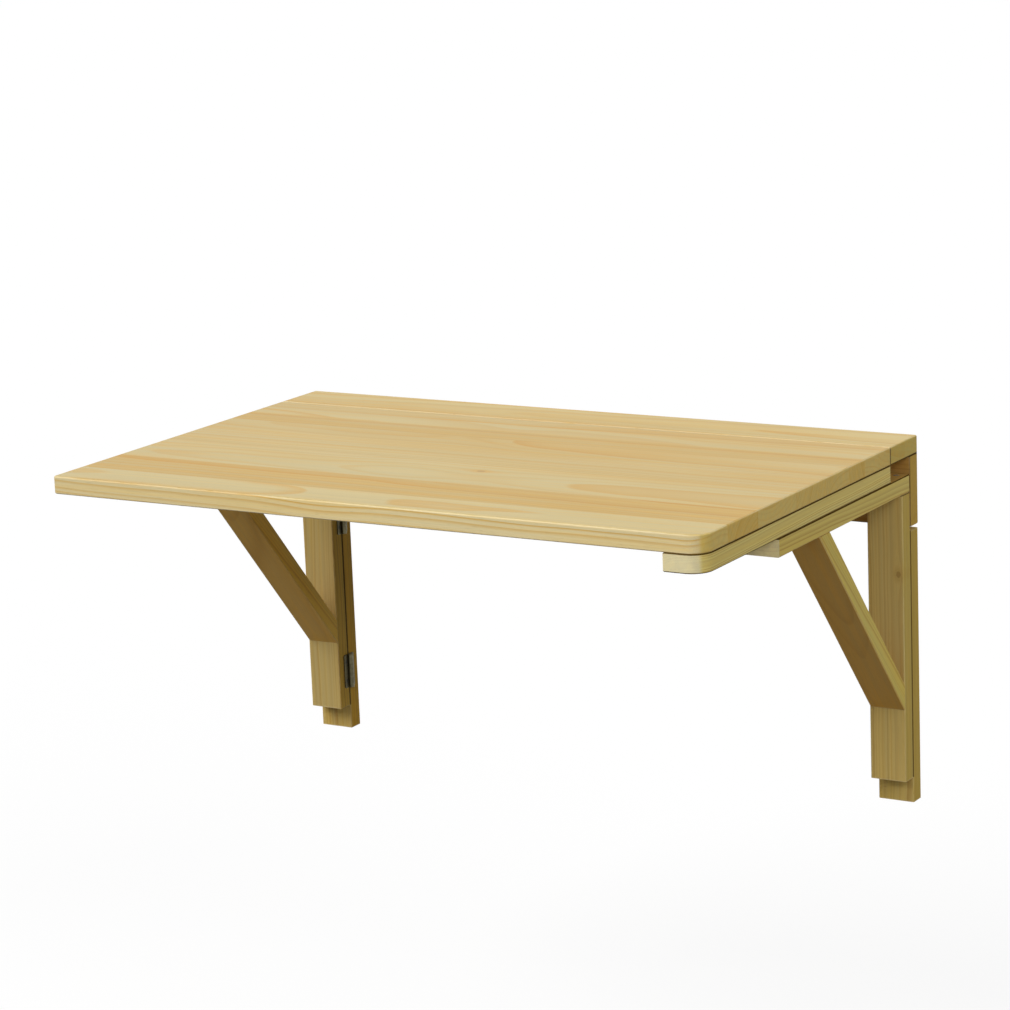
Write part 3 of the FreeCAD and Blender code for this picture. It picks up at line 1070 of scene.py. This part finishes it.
@dataclass(frozen=True)
class Metal:
    """A metal finish: its plain colour, its tarnish, and what shows where it is rubbed."""

    name: str
    plain: Colour
    tarnish: Colour
    rubbed: Colour
    roughness: float
    seed: float
    dullness: float = 0.14
    rubbing: float = 0.5
    polish: float = 0.1
    brush_height: float = 0.00001
    brush_strength: float = 0.5

    def make(self) -> bpy.types.Material:
        """Makes the material.

        Returns:
            The material.
        """
        made = bpy.data.materials.new(self.name)
        net = Wiring.afresh(made)
        marks = MetalMarks.place(net, vector=net.object_place(), seed=self.seed)
        colour = net.blend(marks["Tarnish"], self.plain, self.tarnish)
        dull = marks["Tarnish"].remap(bottom=self.roughness, top=self.roughness + self.dullness)
        net.shade({
            "Base Color": net.blend(marks["Rubbed"] * self.rubbing, colour, self.rubbed),
            "Roughness": dull - marks["Rubbed"] * self.polish,
            "Normal": net.bump(marks["Brush"], self.brush_height, self.brush_strength),
            "Metallic": 1.0,
        })
        return made


def dress_node(node: str, material: bpy.types.Material) -> None:
    """Gives a node of the frame its finish.

    Args:
        node: The node's name.
        material: Its finish.
    """
    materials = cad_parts[node].data.materials
    if materials:
        materials[0] = material
    else:
        materials.append(material)
    log.info("%s is finished with %s", node, material.name)


# ---- Screws -----------------------------------------------------------------------
@dataclass(frozen=True)
class ScrewSize:
    """One size of countersunk wood screw with a cross recess."""

    head_radius: float
    shank_radius: float
    length: float
    thread_pitch: float
    recess_reach: float
    recess_width: float
    recess_depth: float


@dataclass
class ScrewTree:
    """Geometry nodes that set a screw at each point, driven along the point's own direction.

    A number that isn't a count is a share of the size that it shapes.
    """

    title: str = "countersunk_screws"
    head_sides: int = 40
    shank_sides: int = 14
    turn_steps: int = 12
    rim_height: float = 0.06
    rim_narrowing: float = 0.95
    point_width: float = 1.5
    point_depth: float = 1.7
    point_lift: float = -0.1
    neck_start: float = 0.9
    neck_width: float = 0.98
    plain_share: float = 0.22
    core_start: float = 0.98
    core_share: float = 0.72
    tip_share: float = 0.3
    thread_start: float = 0.12
    thread_end: float = 0.97
    thread_radius: float = 0.74
    thread_tip: float = 0.4
    wire_radius: float = 0.24
    tree: bpy.types.NodeTree = field(init=False)
    net: Wiring = field(init=False)
    given: Dict[str, Signal] = field(init=False)

    def __post_init__(self) -> None:
        """Builds the tree."""
        self.tree = bpy.data.node_groups.new(self.title, "GeometryNodeTree")
        kinds = {"Geometry": "Geometry", **{spelt(size.name): "Float" for size in fields(ScrewSize)}}
        for name, kind in {**kinds, "Seed": "Int", "Finish": "Material"}.items():
            self.tree.interface.new_socket(name=name, in_out="INPUT", socket_type="NodeSocket" + kind)
        self.tree.interface.new_socket(name="Geometry", in_out="OUTPUT", socket_type="NodeSocketGeometry")
        self.net = Wiring(self.tree)
        self.given = self.net.signals(self.net.node("NodeGroupInput"))
        screw = self.net.signal("GeometryNodeJoinGeometry", {0: [self.head(), self.core(), self.thread()]})
        real = self.net.signal("GeometryNodeRealizeInstances", {"Geometry": self.spread(screw)})
        inputs = {"Geometry": real, "Material": self.given["Finish"]}
        self.net.node("NodeGroupOutput", {"Geometry": self.net.signal("GeometryNodeSetMaterial", inputs)})

    def head(self) -> Signal:
        """The countersunk head with its cross recess.

        Returns:
            The head's mesh.
        """
        radius = self.given["Head Radius"]
        width = self.given["Recess Width"]
        depth = self.given["Recess Depth"]
        rim = radius * self.rim_height
        seat = self.cone(self.head_sides, self.given["Shank Radius"], radius, self.seat_depth() - rim)
        face = self.cone(self.head_sides, radius, radius * self.rim_narrowing, rim)
        both = {"Mesh 2": [self.lifted(seat, rim), face]}
        whole = self.net.signal("GeometryNodeMeshBoolean", both, operation="UNION")
        wide = self.given["Recess Reach"] * 2.0
        deep = depth * 2.0
        blades = [
            self.net.signal("GeometryNodeMeshCube", {"Size": self.net.together(*sizes)})
            for sizes in ((wide, width, deep), (width, wide, deep))
        ]
        point = self.cone(4, 0.0, width * self.point_width, depth * self.point_depth)
        cutters = [*blades, self.lifted(point, depth * self.point_lift)]
        inputs = {"Mesh 1": whole, "Mesh 2": cutters}
        return self.net.signal("GeometryNodeMeshBoolean", inputs, operation="DIFFERENCE")

    def core(self) -> Signal:
        """The plain neck and the tapering core.

        Returns:
            The two meshes, joined.
        """
        shank = self.given["Shank Radius"]
        length = self.given["Length"]
        root = shank * self.core_share
        start = self.seat_depth() * self.neck_start
        neck_length = length * self.plain_share
        neck = self.cone(self.shank_sides, root, shank * self.neck_width, neck_length)
        low = (start + neck_length) * self.core_start
        core = self.cone(self.shank_sides, shank * self.tip_share, root, length - low)
        both = [self.lifted(neck, start), self.lifted(core, low)]
        return self.net.signal("GeometryNodeJoinGeometry", {0: both})

    def thread(self) -> Signal:
        """The thread: a three-sided wire wound round the core.

        Returns:
            The thread's mesh.
        """
        shank = self.given["Shank Radius"]
        length = self.given["Length"]
        start = length * (self.plain_share + self.thread_start)
        run = length * self.thread_end - start
        inputs = {
            "Resolution": self.turn_steps,
            "Rotations": run / self.given["Thread Pitch"],
            "Start Radius": shank * self.thread_radius,
            "End Radius": shank * self.thread_tip,
            "Height": run,
        }
        spiral = self.net.signal("GeometryNodeCurveSpiral", inputs)
        level = self.net.signal("GeometryNodeSetCurveNormal", {"Curve": spiral}, mode="Z_UP")
        inputs = {"Resolution": 3, "Radius": shank * self.wire_radius}
        profile = self.net.signal("GeometryNodeCurvePrimitiveCircle", inputs)
        inputs = {"Curve": level, "Profile Curve": profile, "Fill Caps": True}
        return self.lifted(self.net.signal("GeometryNodeCurveToMesh", inputs), start)

    def seat_depth(self) -> Signal:
        """How deep the head's cone goes, at 45 degrees."""
        return self.given["Head Radius"] - self.given["Shank Radius"]

    def cone(self, sides: int, top: Value, bottom: Value, depth: Value) -> Signal:
        """A closed cone or drum that stands on the origin."""
        inputs = {"Vertices": sides, "Radius Top": top, "Radius Bottom": bottom, "Depth": depth}
        return self.net.signal("GeometryNodeMeshCone", inputs)

    def lifted(self, mesh: Signal, height: Signal) -> Signal:
        """A mesh, lifted along the screw."""
        inputs = {"Geometry": mesh, "Translation": self.net.together(0.0, 0.0, height)}
        return self.net.signal("GeometryNodeTransform", inputs)

    def spread(self, screw: Signal) -> Signal:
        """One screw at each point of the host, turned by chance about its own axis.

        Args:
            screw: The screw's geometry.

        Returns:
            The instances.
        """
        net = self.net
        drive = net.signal("GeometryNodeInputNamedAttribute", {"Name": "drive"}, data_type="FLOAT_VECTOR")
        aimed = net.signal("FunctionNodeAlignRotationToVector", {"Vector": drive}, axis="Z")
        limits = {2: 0.0, 3: math.tau / 4, "Seed": self.given["Seed"]}  # 2 and 3 are the limits of a number
        turn = net.signal("FunctionNodeRandomValue", limits, 1, data_type="FLOAT")
        spin = {0: aimed, 1: net.together(0.0, 0.0, turn)}
        turned = net.signal("FunctionNodeRotateRotation", spin, rotation_space="LOCAL")
        inputs = {"Points": self.given["Geometry"], "Instance": screw, "Rotation": turned}
        return net.signal("GeometryNodeInstanceOnPoints", inputs)

    def screws(
        self, name: str, places: Sequence[Place], size: ScrewSize, seed: int, finish: bpy.types.Material
    ) -> bpy.types.Object:
        """Makes one set of screws as a plain mesh.

        Args:
            name: Name of the piece.
            places: For each screw the middle of its head's face, and the way it is driven.
            size: The screw's sizes.
            seed: Number behind the turn of each recess.
            finish: The screws' material.

        Returns:
            The finished object.
        """
        points = bpy.data.meshes.new(name + "_points")
        points.from_pydata([place for place, _ in places], [], [])
        drive = points.attributes.new("drive", "FLOAT_VECTOR", "POINT")
        drive.data.foreach_set("vector", [number for _, way in places for number in way])
        host = bpy.data.objects.new(name + "_host", points)
        bpy.context.scene.collection.objects.link(host)
        modifier = host.modifiers.new("screws", "NODES")
        modifier.node_group = self.tree
        known = {
            item.name: item.identifier
            for item in self.tree.interface.items_tree
            if item.item_type == "SOCKET" and item.in_out == "INPUT"
        }
        for label, value in {**vars(size), "seed": seed, "finish": finish}.items():
            modifier[known[spelt(label)]] = value
        graph = bpy.context.evaluated_depsgraph_get()
        mesh = bpy.data.meshes.new_from_object(host.evaluated_get(graph), depsgraph=graph)
        mesh.name = name
        host.modifiers.remove(modifier)
        bpy.data.objects.remove(host)
        bpy.data.meshes.remove(points)
        made = bpy.data.objects.new(name, mesh)
        bpy.context.scene.collection.objects.link(made)
        log.info("%s has %d screws and %d faces", name, len(places), len(mesh.polygons))
        return made


# ---- Timber of each board ---------------------------------------------------------
PANEL_HEART = Heart(0.0, 0.0, spacing=0.0062, wander=0.010, sharpness=2.2)
# Each board's tints paint light and shade onto its sides, lighter where light falls and darker where shade
# falls, and its grime sets how dark the shade painted in its joints is.
TIMBER: Dict[str, Timber] = {
    "leaf_board": Timber(
        PANEL_HEART, seed=6.0, grime=0.5,
        tints=Tints((1.07, 1.05, 0.79), (1.12, 1.18, 1.6), (0.855, 0.855, 0.87)),
        staves=(
            Stave(-0.466, 1.0, 0.10, Heart(0.004, -0.105, 0.010)),
            Stave(-0.399, 0.99, 0.95, Heart(0.050, -0.060, -0.015)),
            Stave(-0.308, 0.99, 0.20, Heart(-0.012, 0.095, 0.020)),
            Stave(-0.229, 0.98, 0.42, Heart(-0.075, 0.040, 0.010)),
            Stave(-0.179, 0.98, 0.50, Heart(0.018, -0.070, -0.022)),
            Stave(-0.139, 0.97, 0.90, Heart(0.090, 0.030, 0.006)),
            Stave(-0.104, 0.98, 0.30, Heart(-0.020, -0.110, 0.018)),
            Stave(-0.072, 0.97, 0.50, Heart(0.030, 0.080, -0.012)),
        ),
        knots=(Knot((0.037, -0.334, 0.05), radius=0.004, darkness=0.3),),
        dips=(Dip(place=-0.056, reach=0.065, drop=0.0045),),
    ),
    "fixed_strip": Timber(
        PANEL_HEART, seed=7.0,
        tints=Tints((0.86, 0.86, 0.46), face=(0.9, 0.9, 0.87)),
        staves=(
            Stave(-0.034, 0.96, 0.50, Heart(0.015, 0.075, 0.014)),
            Stave(0.0, 0.97, 0.36, Heart(-0.030, -0.090, -0.010)),
        ),
    ),
    "batten_left": Timber(
        Heart(-0.012, -0.075, 0.012, 0.0038, sharpness=1.8), seed=10.0, warmth=0.15, tone=1.05,
    ),
    "batten_right": Timber(
        Heart(0.012, -0.075, 0.012, 0.0038, sharpness=1.8), seed=12.0, warmth=0.15, tone=1.06,
        tints=Tints((1.2, 1.4, 2.15), (1.13, 1.21, 1.08)),
    ),
    "wall_rail": Timber(
        Heart(0.055, 0.040, 0.02, 0.0048), seed=17.0, warmth=0.9,
        tints=Tints((0.89, 0.81, 0.54), face=(0.92, 0.78, 0.88)),
    ),
    "upright_left": Timber(
        Heart(-0.048, 0.035, -0.01, 0.0044, sharpness=2.2), seed=22.0, warmth=0.7, grime=0.8,
        tints=Tints(edge=(1.2, 1.01, 0.54), face=(1.0, 1.03, 1.3)),
    ),
    "upright_right": Timber(
        Heart(0.048, 0.035, -0.01, 0.0044, sharpness=2.2), seed=24.0, warmth=0.6, grime=0.8,
        tints=Tints(edge=(0.86, 0.85, 0.56)),
    ),
    "arm_left": Timber(Heart(-0.010, 0.080, -0.014, 0.0055, sharpness=1.8), seed=30.0, warmth=0.3),
    "arm_right": Timber(
        Heart(0.010, 0.080, -0.014, 0.0055, sharpness=1.8), seed=32.0, warmth=0.25,
        tints=Tints((1.7, 1.94, 2.86), (1.1, 1.14, 0.9), (0.8, 0.62, 0.42)),
    ),
    "post_left": Timber(
        Heart(-0.034, 0.030, 0.012, 0.0036, sharpness=1.8), seed=36.0, tone=0.86, figure=0.7, grime=0.8,
        tints=Tints(edge=(1.3, 1.14, 0.65), face=(1.0, 1.0, 1.1)),
    ),
    "post_right": Timber(
        Heart(0.034, 0.030, 0.012, 0.0034, sharpness=1.8), seed=38.0, tone=1.08, figure=0.85, grime=0.8,
        tints=Tints(edge=(0.81, 0.8, 0.54), face=(1.0, 0.98, 0.95)),
        knots=(Knot((0.394, -0.041, -0.0905), radius=0.0030, darkness=0.35),),
    ),
    "brace_left": Timber(
        Heart(-0.006, -0.060, 0.045, 0.0046, 0.012), seed=42.0, warmth=0.5, figure=0.5,
        tints=Tints(edge=(1.6, 1.4, 0.88), face=(1.05, 0.84, 0.6)),
    ),
    "brace_right": Timber(
        Heart(0.006, -0.060, 0.045, 0.0046, 0.012), seed=44.0, warmth=0.5, figure=0.6,
        tints=Tints(edge=(1.09, 1.16, 0.9), face=(1.1, 0.85, 0.6)),
    ),
}


# ---- Sub-assemblies ---------------------------------------------------------------
class Side(Enum):
    """The table's two ends, as the sign of X."""

    LEFT = -1.0
    RIGHT = 1.0

    @property
    def word(self) -> str:
        """The side's name as the nodes spell it."""
        return self.name.lower()


@dataclass
class Workshop:
    """What the sub-assemblies share: the finishes and the screw maker."""

    panel_pine: Pine = Pine(
        warm=(0.615, 0.385, 0.068),
        late_cream=(0.61, 0.37, 0.082),
        late_warm=(0.56, 0.29, 0.03),
        figure=0.85,
        edge_figure=1.15,
        rubbing=0.7,
        streaks=1.6,
    )
    frame_pine: Pine = Pine(end_figure=0.3, rubbing=0.33, roughness=0.45, coat=0.0, specular=0.035)
    hinge_steel: Metal = Metal(
        "hinge_plate", (0.132, 0.118, 0.068), (0.1, 0.088, 0.049), (0.21, 0.195, 0.125), 0.38, seed=2.0
    )
    pin_steel: Metal = Metal(
        "hinge_pin", (0.16, 0.155, 0.14), (0.09, 0.085, 0.07), (0.3, 0.29, 0.27), 0.3, seed=4.0
    )
    dark_steel: Metal = Metal(
        "dark_screw", (0.11, 0.105, 0.088), (0.06, 0.056, 0.045), (0.26, 0.25, 0.22), 0.34, seed=5.0
    )
    zinc: Metal = Metal(
        "zinc_screw", (0.52, 0.5, 0.43), (0.36, 0.34, 0.27), (0.66, 0.65, 0.6), 0.32, seed=9.0
    )
    hinge_screw: ScrewSize = ScrewSize(
        head_radius=0.0028, shank_radius=0.0014, length=0.015, thread_pitch=0.0011,
        recess_reach=0.0015, recess_width=0.00045, recess_depth=0.0009,
    )
    batten_screw: ScrewSize = ScrewSize(
        head_radius=0.004, shank_radius=0.002, length=0.034, thread_pitch=0.0018,
        recess_reach=0.0023, recess_width=0.0007, recess_depth=0.0015,
    )
    bracket_screw: ScrewSize = replace(batten_screw, length=0.040)
    screw_tree: ScrewTree = field(default_factory=ScrewTree)
    made: Dict[str, bpy.types.Material] = field(default_factory=dict)

    def dress_board(
        self, node: str, run: GrainRun, joins: Sequence[Triple], joint_start: float = -1.0
    ) -> None:
        """Finishes a board that lies square to the table.

        Args:
            node: Name of the board's node.
            run: Which way its grain runs.
            joins: For each side that meets a neighbour, the way out of that side.
            joint_start: Where along the grain the joints start.
        """
        self.varnish(node, BoardFrame.of_node(node, run, joins, joint_start))

    def varnish(self, node: str, board: BoardFrame) -> None:
        """Gives a board its pine, which is the panels' where it is glued up."""
        pine = self.panel_pine if TIMBER[node].staves else self.frame_pine
        dress_node(node, pine.make(node + "_pine", board, TIMBER[node]))

    def metal(self, metal: Metal) -> bpy.types.Material:
        """A metal's material, made once.

        Args:
            metal: The finish.

        Returns:
            The material.
        """
        if metal.name not in self.made:
            self.made[metal.name] = metal.make()
        return self.made[metal.name]

    def fit_screws(
        self, node: str, body: str, places: Sequence[Place], size: ScrewSize, seed: int, metal: Metal
    ) -> None:
        """Makes the screws that stand for one node.

        Args:
            node: The node that they replace.
            body: The body that they ride on.
            places: Where they are, and the way they are driven.
            size: Their size.
            seed: Number behind the turn of each recess.
            metal: Their metal.
        """
        piece = self.screw_tree.screws(node + "_set", places, size, seed, self.metal(metal))
        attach(piece, body)
        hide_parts(node)


@dataclass
class TableTop:
    """The hinged leaf, the fixed strip behind it and the two battens."""

    shop: Workshop
    screw_inset: float = 0.045
    screw_count: int = 3
    screw_seed: int = 21

    def dress(self) -> None:
        """Finishes the boards and fits the batten screws."""
        self.shop.dress_board("leaf_board", GrainRun.ALONG_TABLE, (BACK, BELOW))
        self.shop.dress_board("fixed_strip", GrainRun.ALONG_TABLE, (FRONT, BELOW))
        for side in Side:
            self.shop.dress_board("batten_" + side.word, GrainRun.FROM_WALL, (ABOVE, BELOW))
            self.fit_screws(side)

    def fit_screws(self, side: Side) -> None:
        """Fits the screws that hold one batten to the leaf.

        Args:
            side: The batten's side.
        """
        low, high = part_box("batten_" + side.word)
        start = low.y + self.screw_inset
        step = (high.y - self.screw_inset - start) / (self.screw_count - 1)
        heads = [
            Vector(((low.x + high.x) / 2, start + step * number, low.z - HEAD_RISE))
            for number in range(self.screw_count)
        ]
        places = [(head, Vector(ABOVE)) for head in heads]
        node = "batten_screws_" + side.word
        self.shop.fit_screws(node, "leaf", places, self.shop.batten_screw, self.screw_seed, self.shop.zinc)


@dataclass
class WallFrame:
    """The rail under the strip, the two uprights below it and the dowels."""

    shop: Workshop
    dowel_beech: Beech = Beech()

    def dress(self) -> None:
        """Finishes the rail, the uprights and the dowels."""
        self.shop.dress_board("wall_rail", GrainRun.RAIL, (ABOVE, FRONT))
        for side in Side:
            foot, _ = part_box("post_" + side.word)
            self.shop.dress_board("upright_" + side.word, GrainRun.UPRIGHT, (FRONT,), foot.z)
        dress_node("strip_dowels", self.dowel_beech.make())


@dataclass
class FoldingBracket:
    """One triangular bracket: its arm, its post and the brace between them."""

    shop: Workshop
    side: Side
    brace_thickness: float = 0.020
    post_screw_spacing: float = 0.020
    brace_screw_inset: float = 0.004
    screw_seed: int = 22

    def corners(self, board: str) -> Corners:
        """The lowest and highest corners of one of its boards."""
        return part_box(f"{board}_{self.side.word}")

    def dress(self) -> None:
        """Finishes the three boards and fits their screws."""
        word = self.side.word
        self.shop.dress_board("arm_" + word, GrainRun.FROM_WALL, (ABOVE, BACK))
        self.shop.dress_board("post_" + word, GrainRun.UPRIGHT, (ABOVE, BACK))
        self.shop.varnish("brace_" + word, self.brace_frame())
        self.fit_screws()

    def brace_frame(self) -> BoardFrame:
        """The brace's own frame, with its grain down the slope.

        Returns:
            The frame.
        """
        low, high = self.corners("brace")
        slope = Vector((0.0, high.y - low.y, low.z - high.z))
        run = slope.normalized()
        across = Vector((1.0, 0.0, 0.0))
        through = run.cross(across)
        inward = through if through.z > 0 else -through
        outer = Vector(((low.x + high.x) / 2, low.y, high.z)) + slope / 2
        middle = outer + inward * (self.brace_thickness / 2)
        half = Vector((slope.length / 2, (high.x - low.x) / 2, self.brace_thickness / 2))
        return BoardFrame(Matrix((run, across, through)), middle, half)

    def fit_screws(self) -> None:
        """Fits the two screws into the post and one into each end of the brace."""
        low, high = self.corners("brace")
        post_low, post_high = self.corners("post")
        x = (low.x + high.x) / 2
        top = self.corners("arm")[1].z + HEAD_RISE
        post_y = (post_low.y + post_high.y) / 2
        slope = math.atan2(high.y - low.y, high.z - low.z)
        arm_y = low.y + self.brace_thickness / math.cos(slope) - self.brace_screw_inset
        post_z = low.z + self.brace_thickness / math.sin(slope) - self.brace_screw_inset
        places = [
            (Vector((x - self.post_screw_spacing / 2, post_y, top)), Vector(BELOW)),
            (Vector((x + self.post_screw_spacing / 2, post_y, top)), Vector(BELOW)),
            (Vector((x, arm_y, top)), Vector(BELOW)),
            (Vector((x, post_high.y + HEAD_RISE, post_z)), Vector(FRONT)),
        ]
        word = self.side.word
        sizes = (self.shop.bracket_screw, self.screw_seed, self.shop.zinc)
        self.shop.fit_screws("bracket_screws_" + word, "bracket_" + word, places, *sizes)


@dataclass(frozen=True)
class Plate:
    """One plate of a hinge: its name, the node of its screws, its body, and the seed of the screws."""

    name: str
    screws: str
    body: str
    seed: int


@dataclass
class ButtHinges:
    """Two butt hinges on one line, each of two plates with interleaved knuckles and a pin."""

    shop: Workshop
    screw_inset: float = 0.009
    plate_thickness: float = 0.0016
    barrel_reach: float = 0.00355

    def dress_pair(self, hinges: Sequence[str], plates: Sequence[Plate], drive: Triple) -> None:
        """Finishes the plates and pins and fits the screws.

        Args:
            hinges: Names of the two hinges.
            plates: The plates that each of them has.
            drive: The way in which the screws are driven.
        """
        for hinge in hinges:
            for plate in plates:
                dress_node(f"{hinge}_{plate.name}", self.shop.metal(self.shop.hinge_steel))
            dress_node(hinge + "_pin", self.shop.metal(self.shop.pin_steel))
        size, metal = self.shop.hinge_screw, self.shop.dark_steel
        for plate in plates:
            places = [place for hinge in hinges for place in self.screw_places(hinge, plate.name, drive)]
            self.shop.fit_screws(plate.screws, plate.body, places, size, plate.seed, metal)

    def screw_places(self, hinge: str, plate: str, drive: Triple) -> List[Place]:
        """The screws of one plate, midway between the barrel and the plate's far edge.

        Args:
            hinge: The hinge's name.
            plate: The plate's name.
            drive: The way in which they are driven, along X or Z.

        Returns:
            The middle of each head and the way it is driven.
        """
        low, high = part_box(f"{hinge}_{plate}")
        pin_low, pin_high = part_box(hinge + "_pin")
        pin_y = (pin_low.y + pin_high.y) / 2
        edge = max(low.y, high.y, key=lambda y: abs(y - pin_y))
        way = Vector(drive)
        depth, row = (0, 2) if way.x else (2, 0)
        seat = high if way[depth] > 0 else low
        places = []
        for end, inset in ((low, self.screw_inset), (high, -self.screw_inset)):
            head = Vector((0.0, (pin_y + math.copysign(self.barrel_reach, edge - pin_y) + edge) / 2, 0.0))
            head[depth] = seat[depth] - way[depth] * self.plate_thickness
            head[row] = end[row] + inset
            places.append((head, way))
        return places


@dataclass
class BracketHinges(ButtHinges):
    """The two butt hinges on which one bracket swings."""

    side: Side = Side.LEFT

    def dress(self) -> None:
        """Finishes the hinges and fits their screws."""
        word = self.side.word
        wall_plate = Plate("wall_plate", "upright_hinge_screws_" + word, "wall_frame", 31)
        post_plate = Plate("post_plate", "post_hinge_screws_" + word, "bracket_" + word, 32)
        hinges = (f"upper_hinge_{word}", f"lower_hinge_{word}")
        self.dress_pair(hinges, (wall_plate, post_plate), (self.side.value, 0.0, 0.0))


@dataclass
class SeamHinges(ButtHinges):
    """The two butt hinges under the seam, on which the leaf hangs."""

    def dress(self) -> None:
        """Finishes the hinges and fits their screws."""
        strip_plate = Plate("strip_plate", "strip_hinge_screws", "wall_frame", 41)
        leaf_plate = Plate("leaf_plate", "leaf_hinge_screws", "leaf", 42)
        self.dress_pair([f"leaf_hinge_{side.word}" for side in Side], (strip_plate, leaf_plate), ABOVE)


# ---- Studio -----------------------------------------------------------------------
@dataclass(frozen=True)
class Lamp:
    """A soft lamp: the way to it from the table, how strong it is and how wide it looks, in degrees."""

    name: str
    toward: Triple
    strength: float
    width: float


@dataclass
class Studio:
    """Floor, lamps and surroundings, which aren't part of the table."""

    floor_level: float = -0.69
    floor_reach: float = 60.0
    floor_grey: float = 0.17
    floor_glow: float = 0.815
    sky_toward: Triple = (-0.20, -0.28, 0.50)
    lamps: Tuple[Lamp, ...] = (
        Lamp("key", (-0.42, -0.62, 0.70), 2.00, 38.0),
        Lamp("side", (0.80, -0.45, 0.55), 1.32, 38.0),
        Lamp("back", (-0.10, 0.55, 0.83), 0.40, 50.0),
    )

    def build(self) -> None:
        """Makes the floor, the lamps and the surroundings."""
        self.build_floor()
        for lamp in self.lamps:
            light = bpy.data.lights.new(lamp.name, "SUN")
            light.energy = lamp.strength
            light.angle = math.radians(lamp.width)
            made = bpy.data.objects.new(lamp.name, light)
            made.rotation_euler = Vector(lamp.toward).to_track_quat("Z", "Y").to_euler()
            bpy.context.scene.collection.objects.link(made)
            log.info("lamp %s stands %s", lamp.name, lamp.toward)
        self.build_surroundings()

    @staticmethod
    def seen_directly(net: Wiring) -> Signal:
        """1 for rays that a viewer follows, straight or by a mirror or through glass, and 0 for light."""
        rays = net.signals(net.node("ShaderNodeLightPath"))
        return rays["Is Camera Ray"].maximum(rays["Is Glossy Ray"].maximum(rays["Is Transmission Ray"]))

    def build_floor(self) -> None:
        """Makes the pale floor, lifted to white so that only the shadow shows, and clear from below."""
        mesh = bpy.data.meshes.new("floor")
        reach = self.floor_reach
        sides = ((-reach, -reach), (reach, -reach), (reach, reach), (-reach, reach))
        mesh.from_pydata([(x, y, self.floor_level) for x, y in sides], [], [(0, 1, 2, 3)])
        floor = bpy.data.objects.new("floor", mesh)
        bpy.context.scene.collection.objects.link(floor)
        made = bpy.data.materials.new("pale_floor")
        net = Wiring.afresh(made)
        grey = self.floor_grey
        matt = net.signal("ShaderNodeBsdfDiffuse", {"Color": (grey, grey, grey, 1.0)})
        lift = net.signal("ShaderNodeEmission", {"Strength": self.seen_directly(net) * self.floor_glow})
        above = net.signal("ShaderNodeAddShader", {0: matt, 1: lift})
        below = net.signal("ShaderNodeNewGeometry", output="Backfacing")
        clear = net.signal("ShaderNodeBsdfTransparent")
        both = net.signal("ShaderNodeMixShader", {0: below, 1: above, 2: clear})
        net.node("ShaderNodeOutputMaterial", {"Surface": both})
        mesh.materials.append(made)

    def build_surroundings(self) -> None:
        """Lights the table softly from above, and shows white to the viewer."""
        world = bpy.data.worlds.new("white_room")
        net = Wiring.afresh(world)
        toward = net.signal("ShaderNodeTexCoord", output="Generated")
        sky = net.vector("DOT_PRODUCT", toward, self.sky_toward).maximum(0.0)
        inputs = {"Color": (*WHITE, 1.0), "Strength": self.seen_directly(net).maximum(sky)}
        net.node("ShaderNodeOutputWorld", {"Surface": net.signal("ShaderNodeBackground", inputs)})
        bpy.context.scene.world = world


@dataclass
class ViewCamera:
    """The camera: where it stands, how it is turned, in degrees, and its focal length in pixels."""

    place: Triple = (1.87246, -3.35533, 0.81582)
    yaw: float = 30.885
    pitch: float = 12.662
    roll: float = -2.286
    focal_pixels: float = 3352.0
    image_pixels: float = 1010.0
    sensor: float = 36.0
    sight: float = 200.0

    def build(self) -> None:
        """Makes the camera and gives it to the scene."""
        data = bpy.data.cameras.new("camera")
        data.sensor_width = self.sensor
        data.lens = self.focal_pixels / self.image_pixels * self.sensor
        data.clip_end = self.sight
        made = bpy.data.objects.new("camera", data)
        made.matrix_world = self.pose()
        bpy.context.scene.collection.objects.link(made)
        bpy.context.scene.camera = made
        log.info("camera stands at %s", self.place)

    def pose(self) -> Matrix:
        """The camera's matrix, from its place and turns.

        Returns:
            The matrix.
        """
        yaw, pitch, roll = (math.radians(angle) for angle in (self.yaw, self.pitch, self.roll))
        level = Vector((math.cos(yaw), math.sin(yaw), 0.0))
        flat = Vector((-math.sin(yaw), math.cos(yaw), 0.0))
        forward = flat * math.cos(pitch) + Vector(BELOW) * math.sin(pitch)
        above = level.cross(forward)
        right = level * math.cos(roll) + above * math.sin(roll)
        up = above * math.cos(roll) - level * math.sin(roll)
        turn = Matrix((right, up, -forward)).transposed().to_4x4()
        return Matrix.Translation(self.place) @ turn


def main() -> None:
    """Builds the camera, the studio and every sub-assembly, in order."""
    logging.basicConfig(level=logging.INFO, format="%(message)s")
    bpy.context.scene.view_settings.view_transform = "Standard"
    ViewCamera().build()
    Studio().build()
    shop = Workshop()
    TableTop(shop).dress()
    WallFrame(shop).dress()
    for side in Side:
        FoldingBracket(shop, side).dress()
        BracketHinges(shop, side=side).dress()
    SeamHinges(shop).dress()


if __name__ == "__main__":
    main()
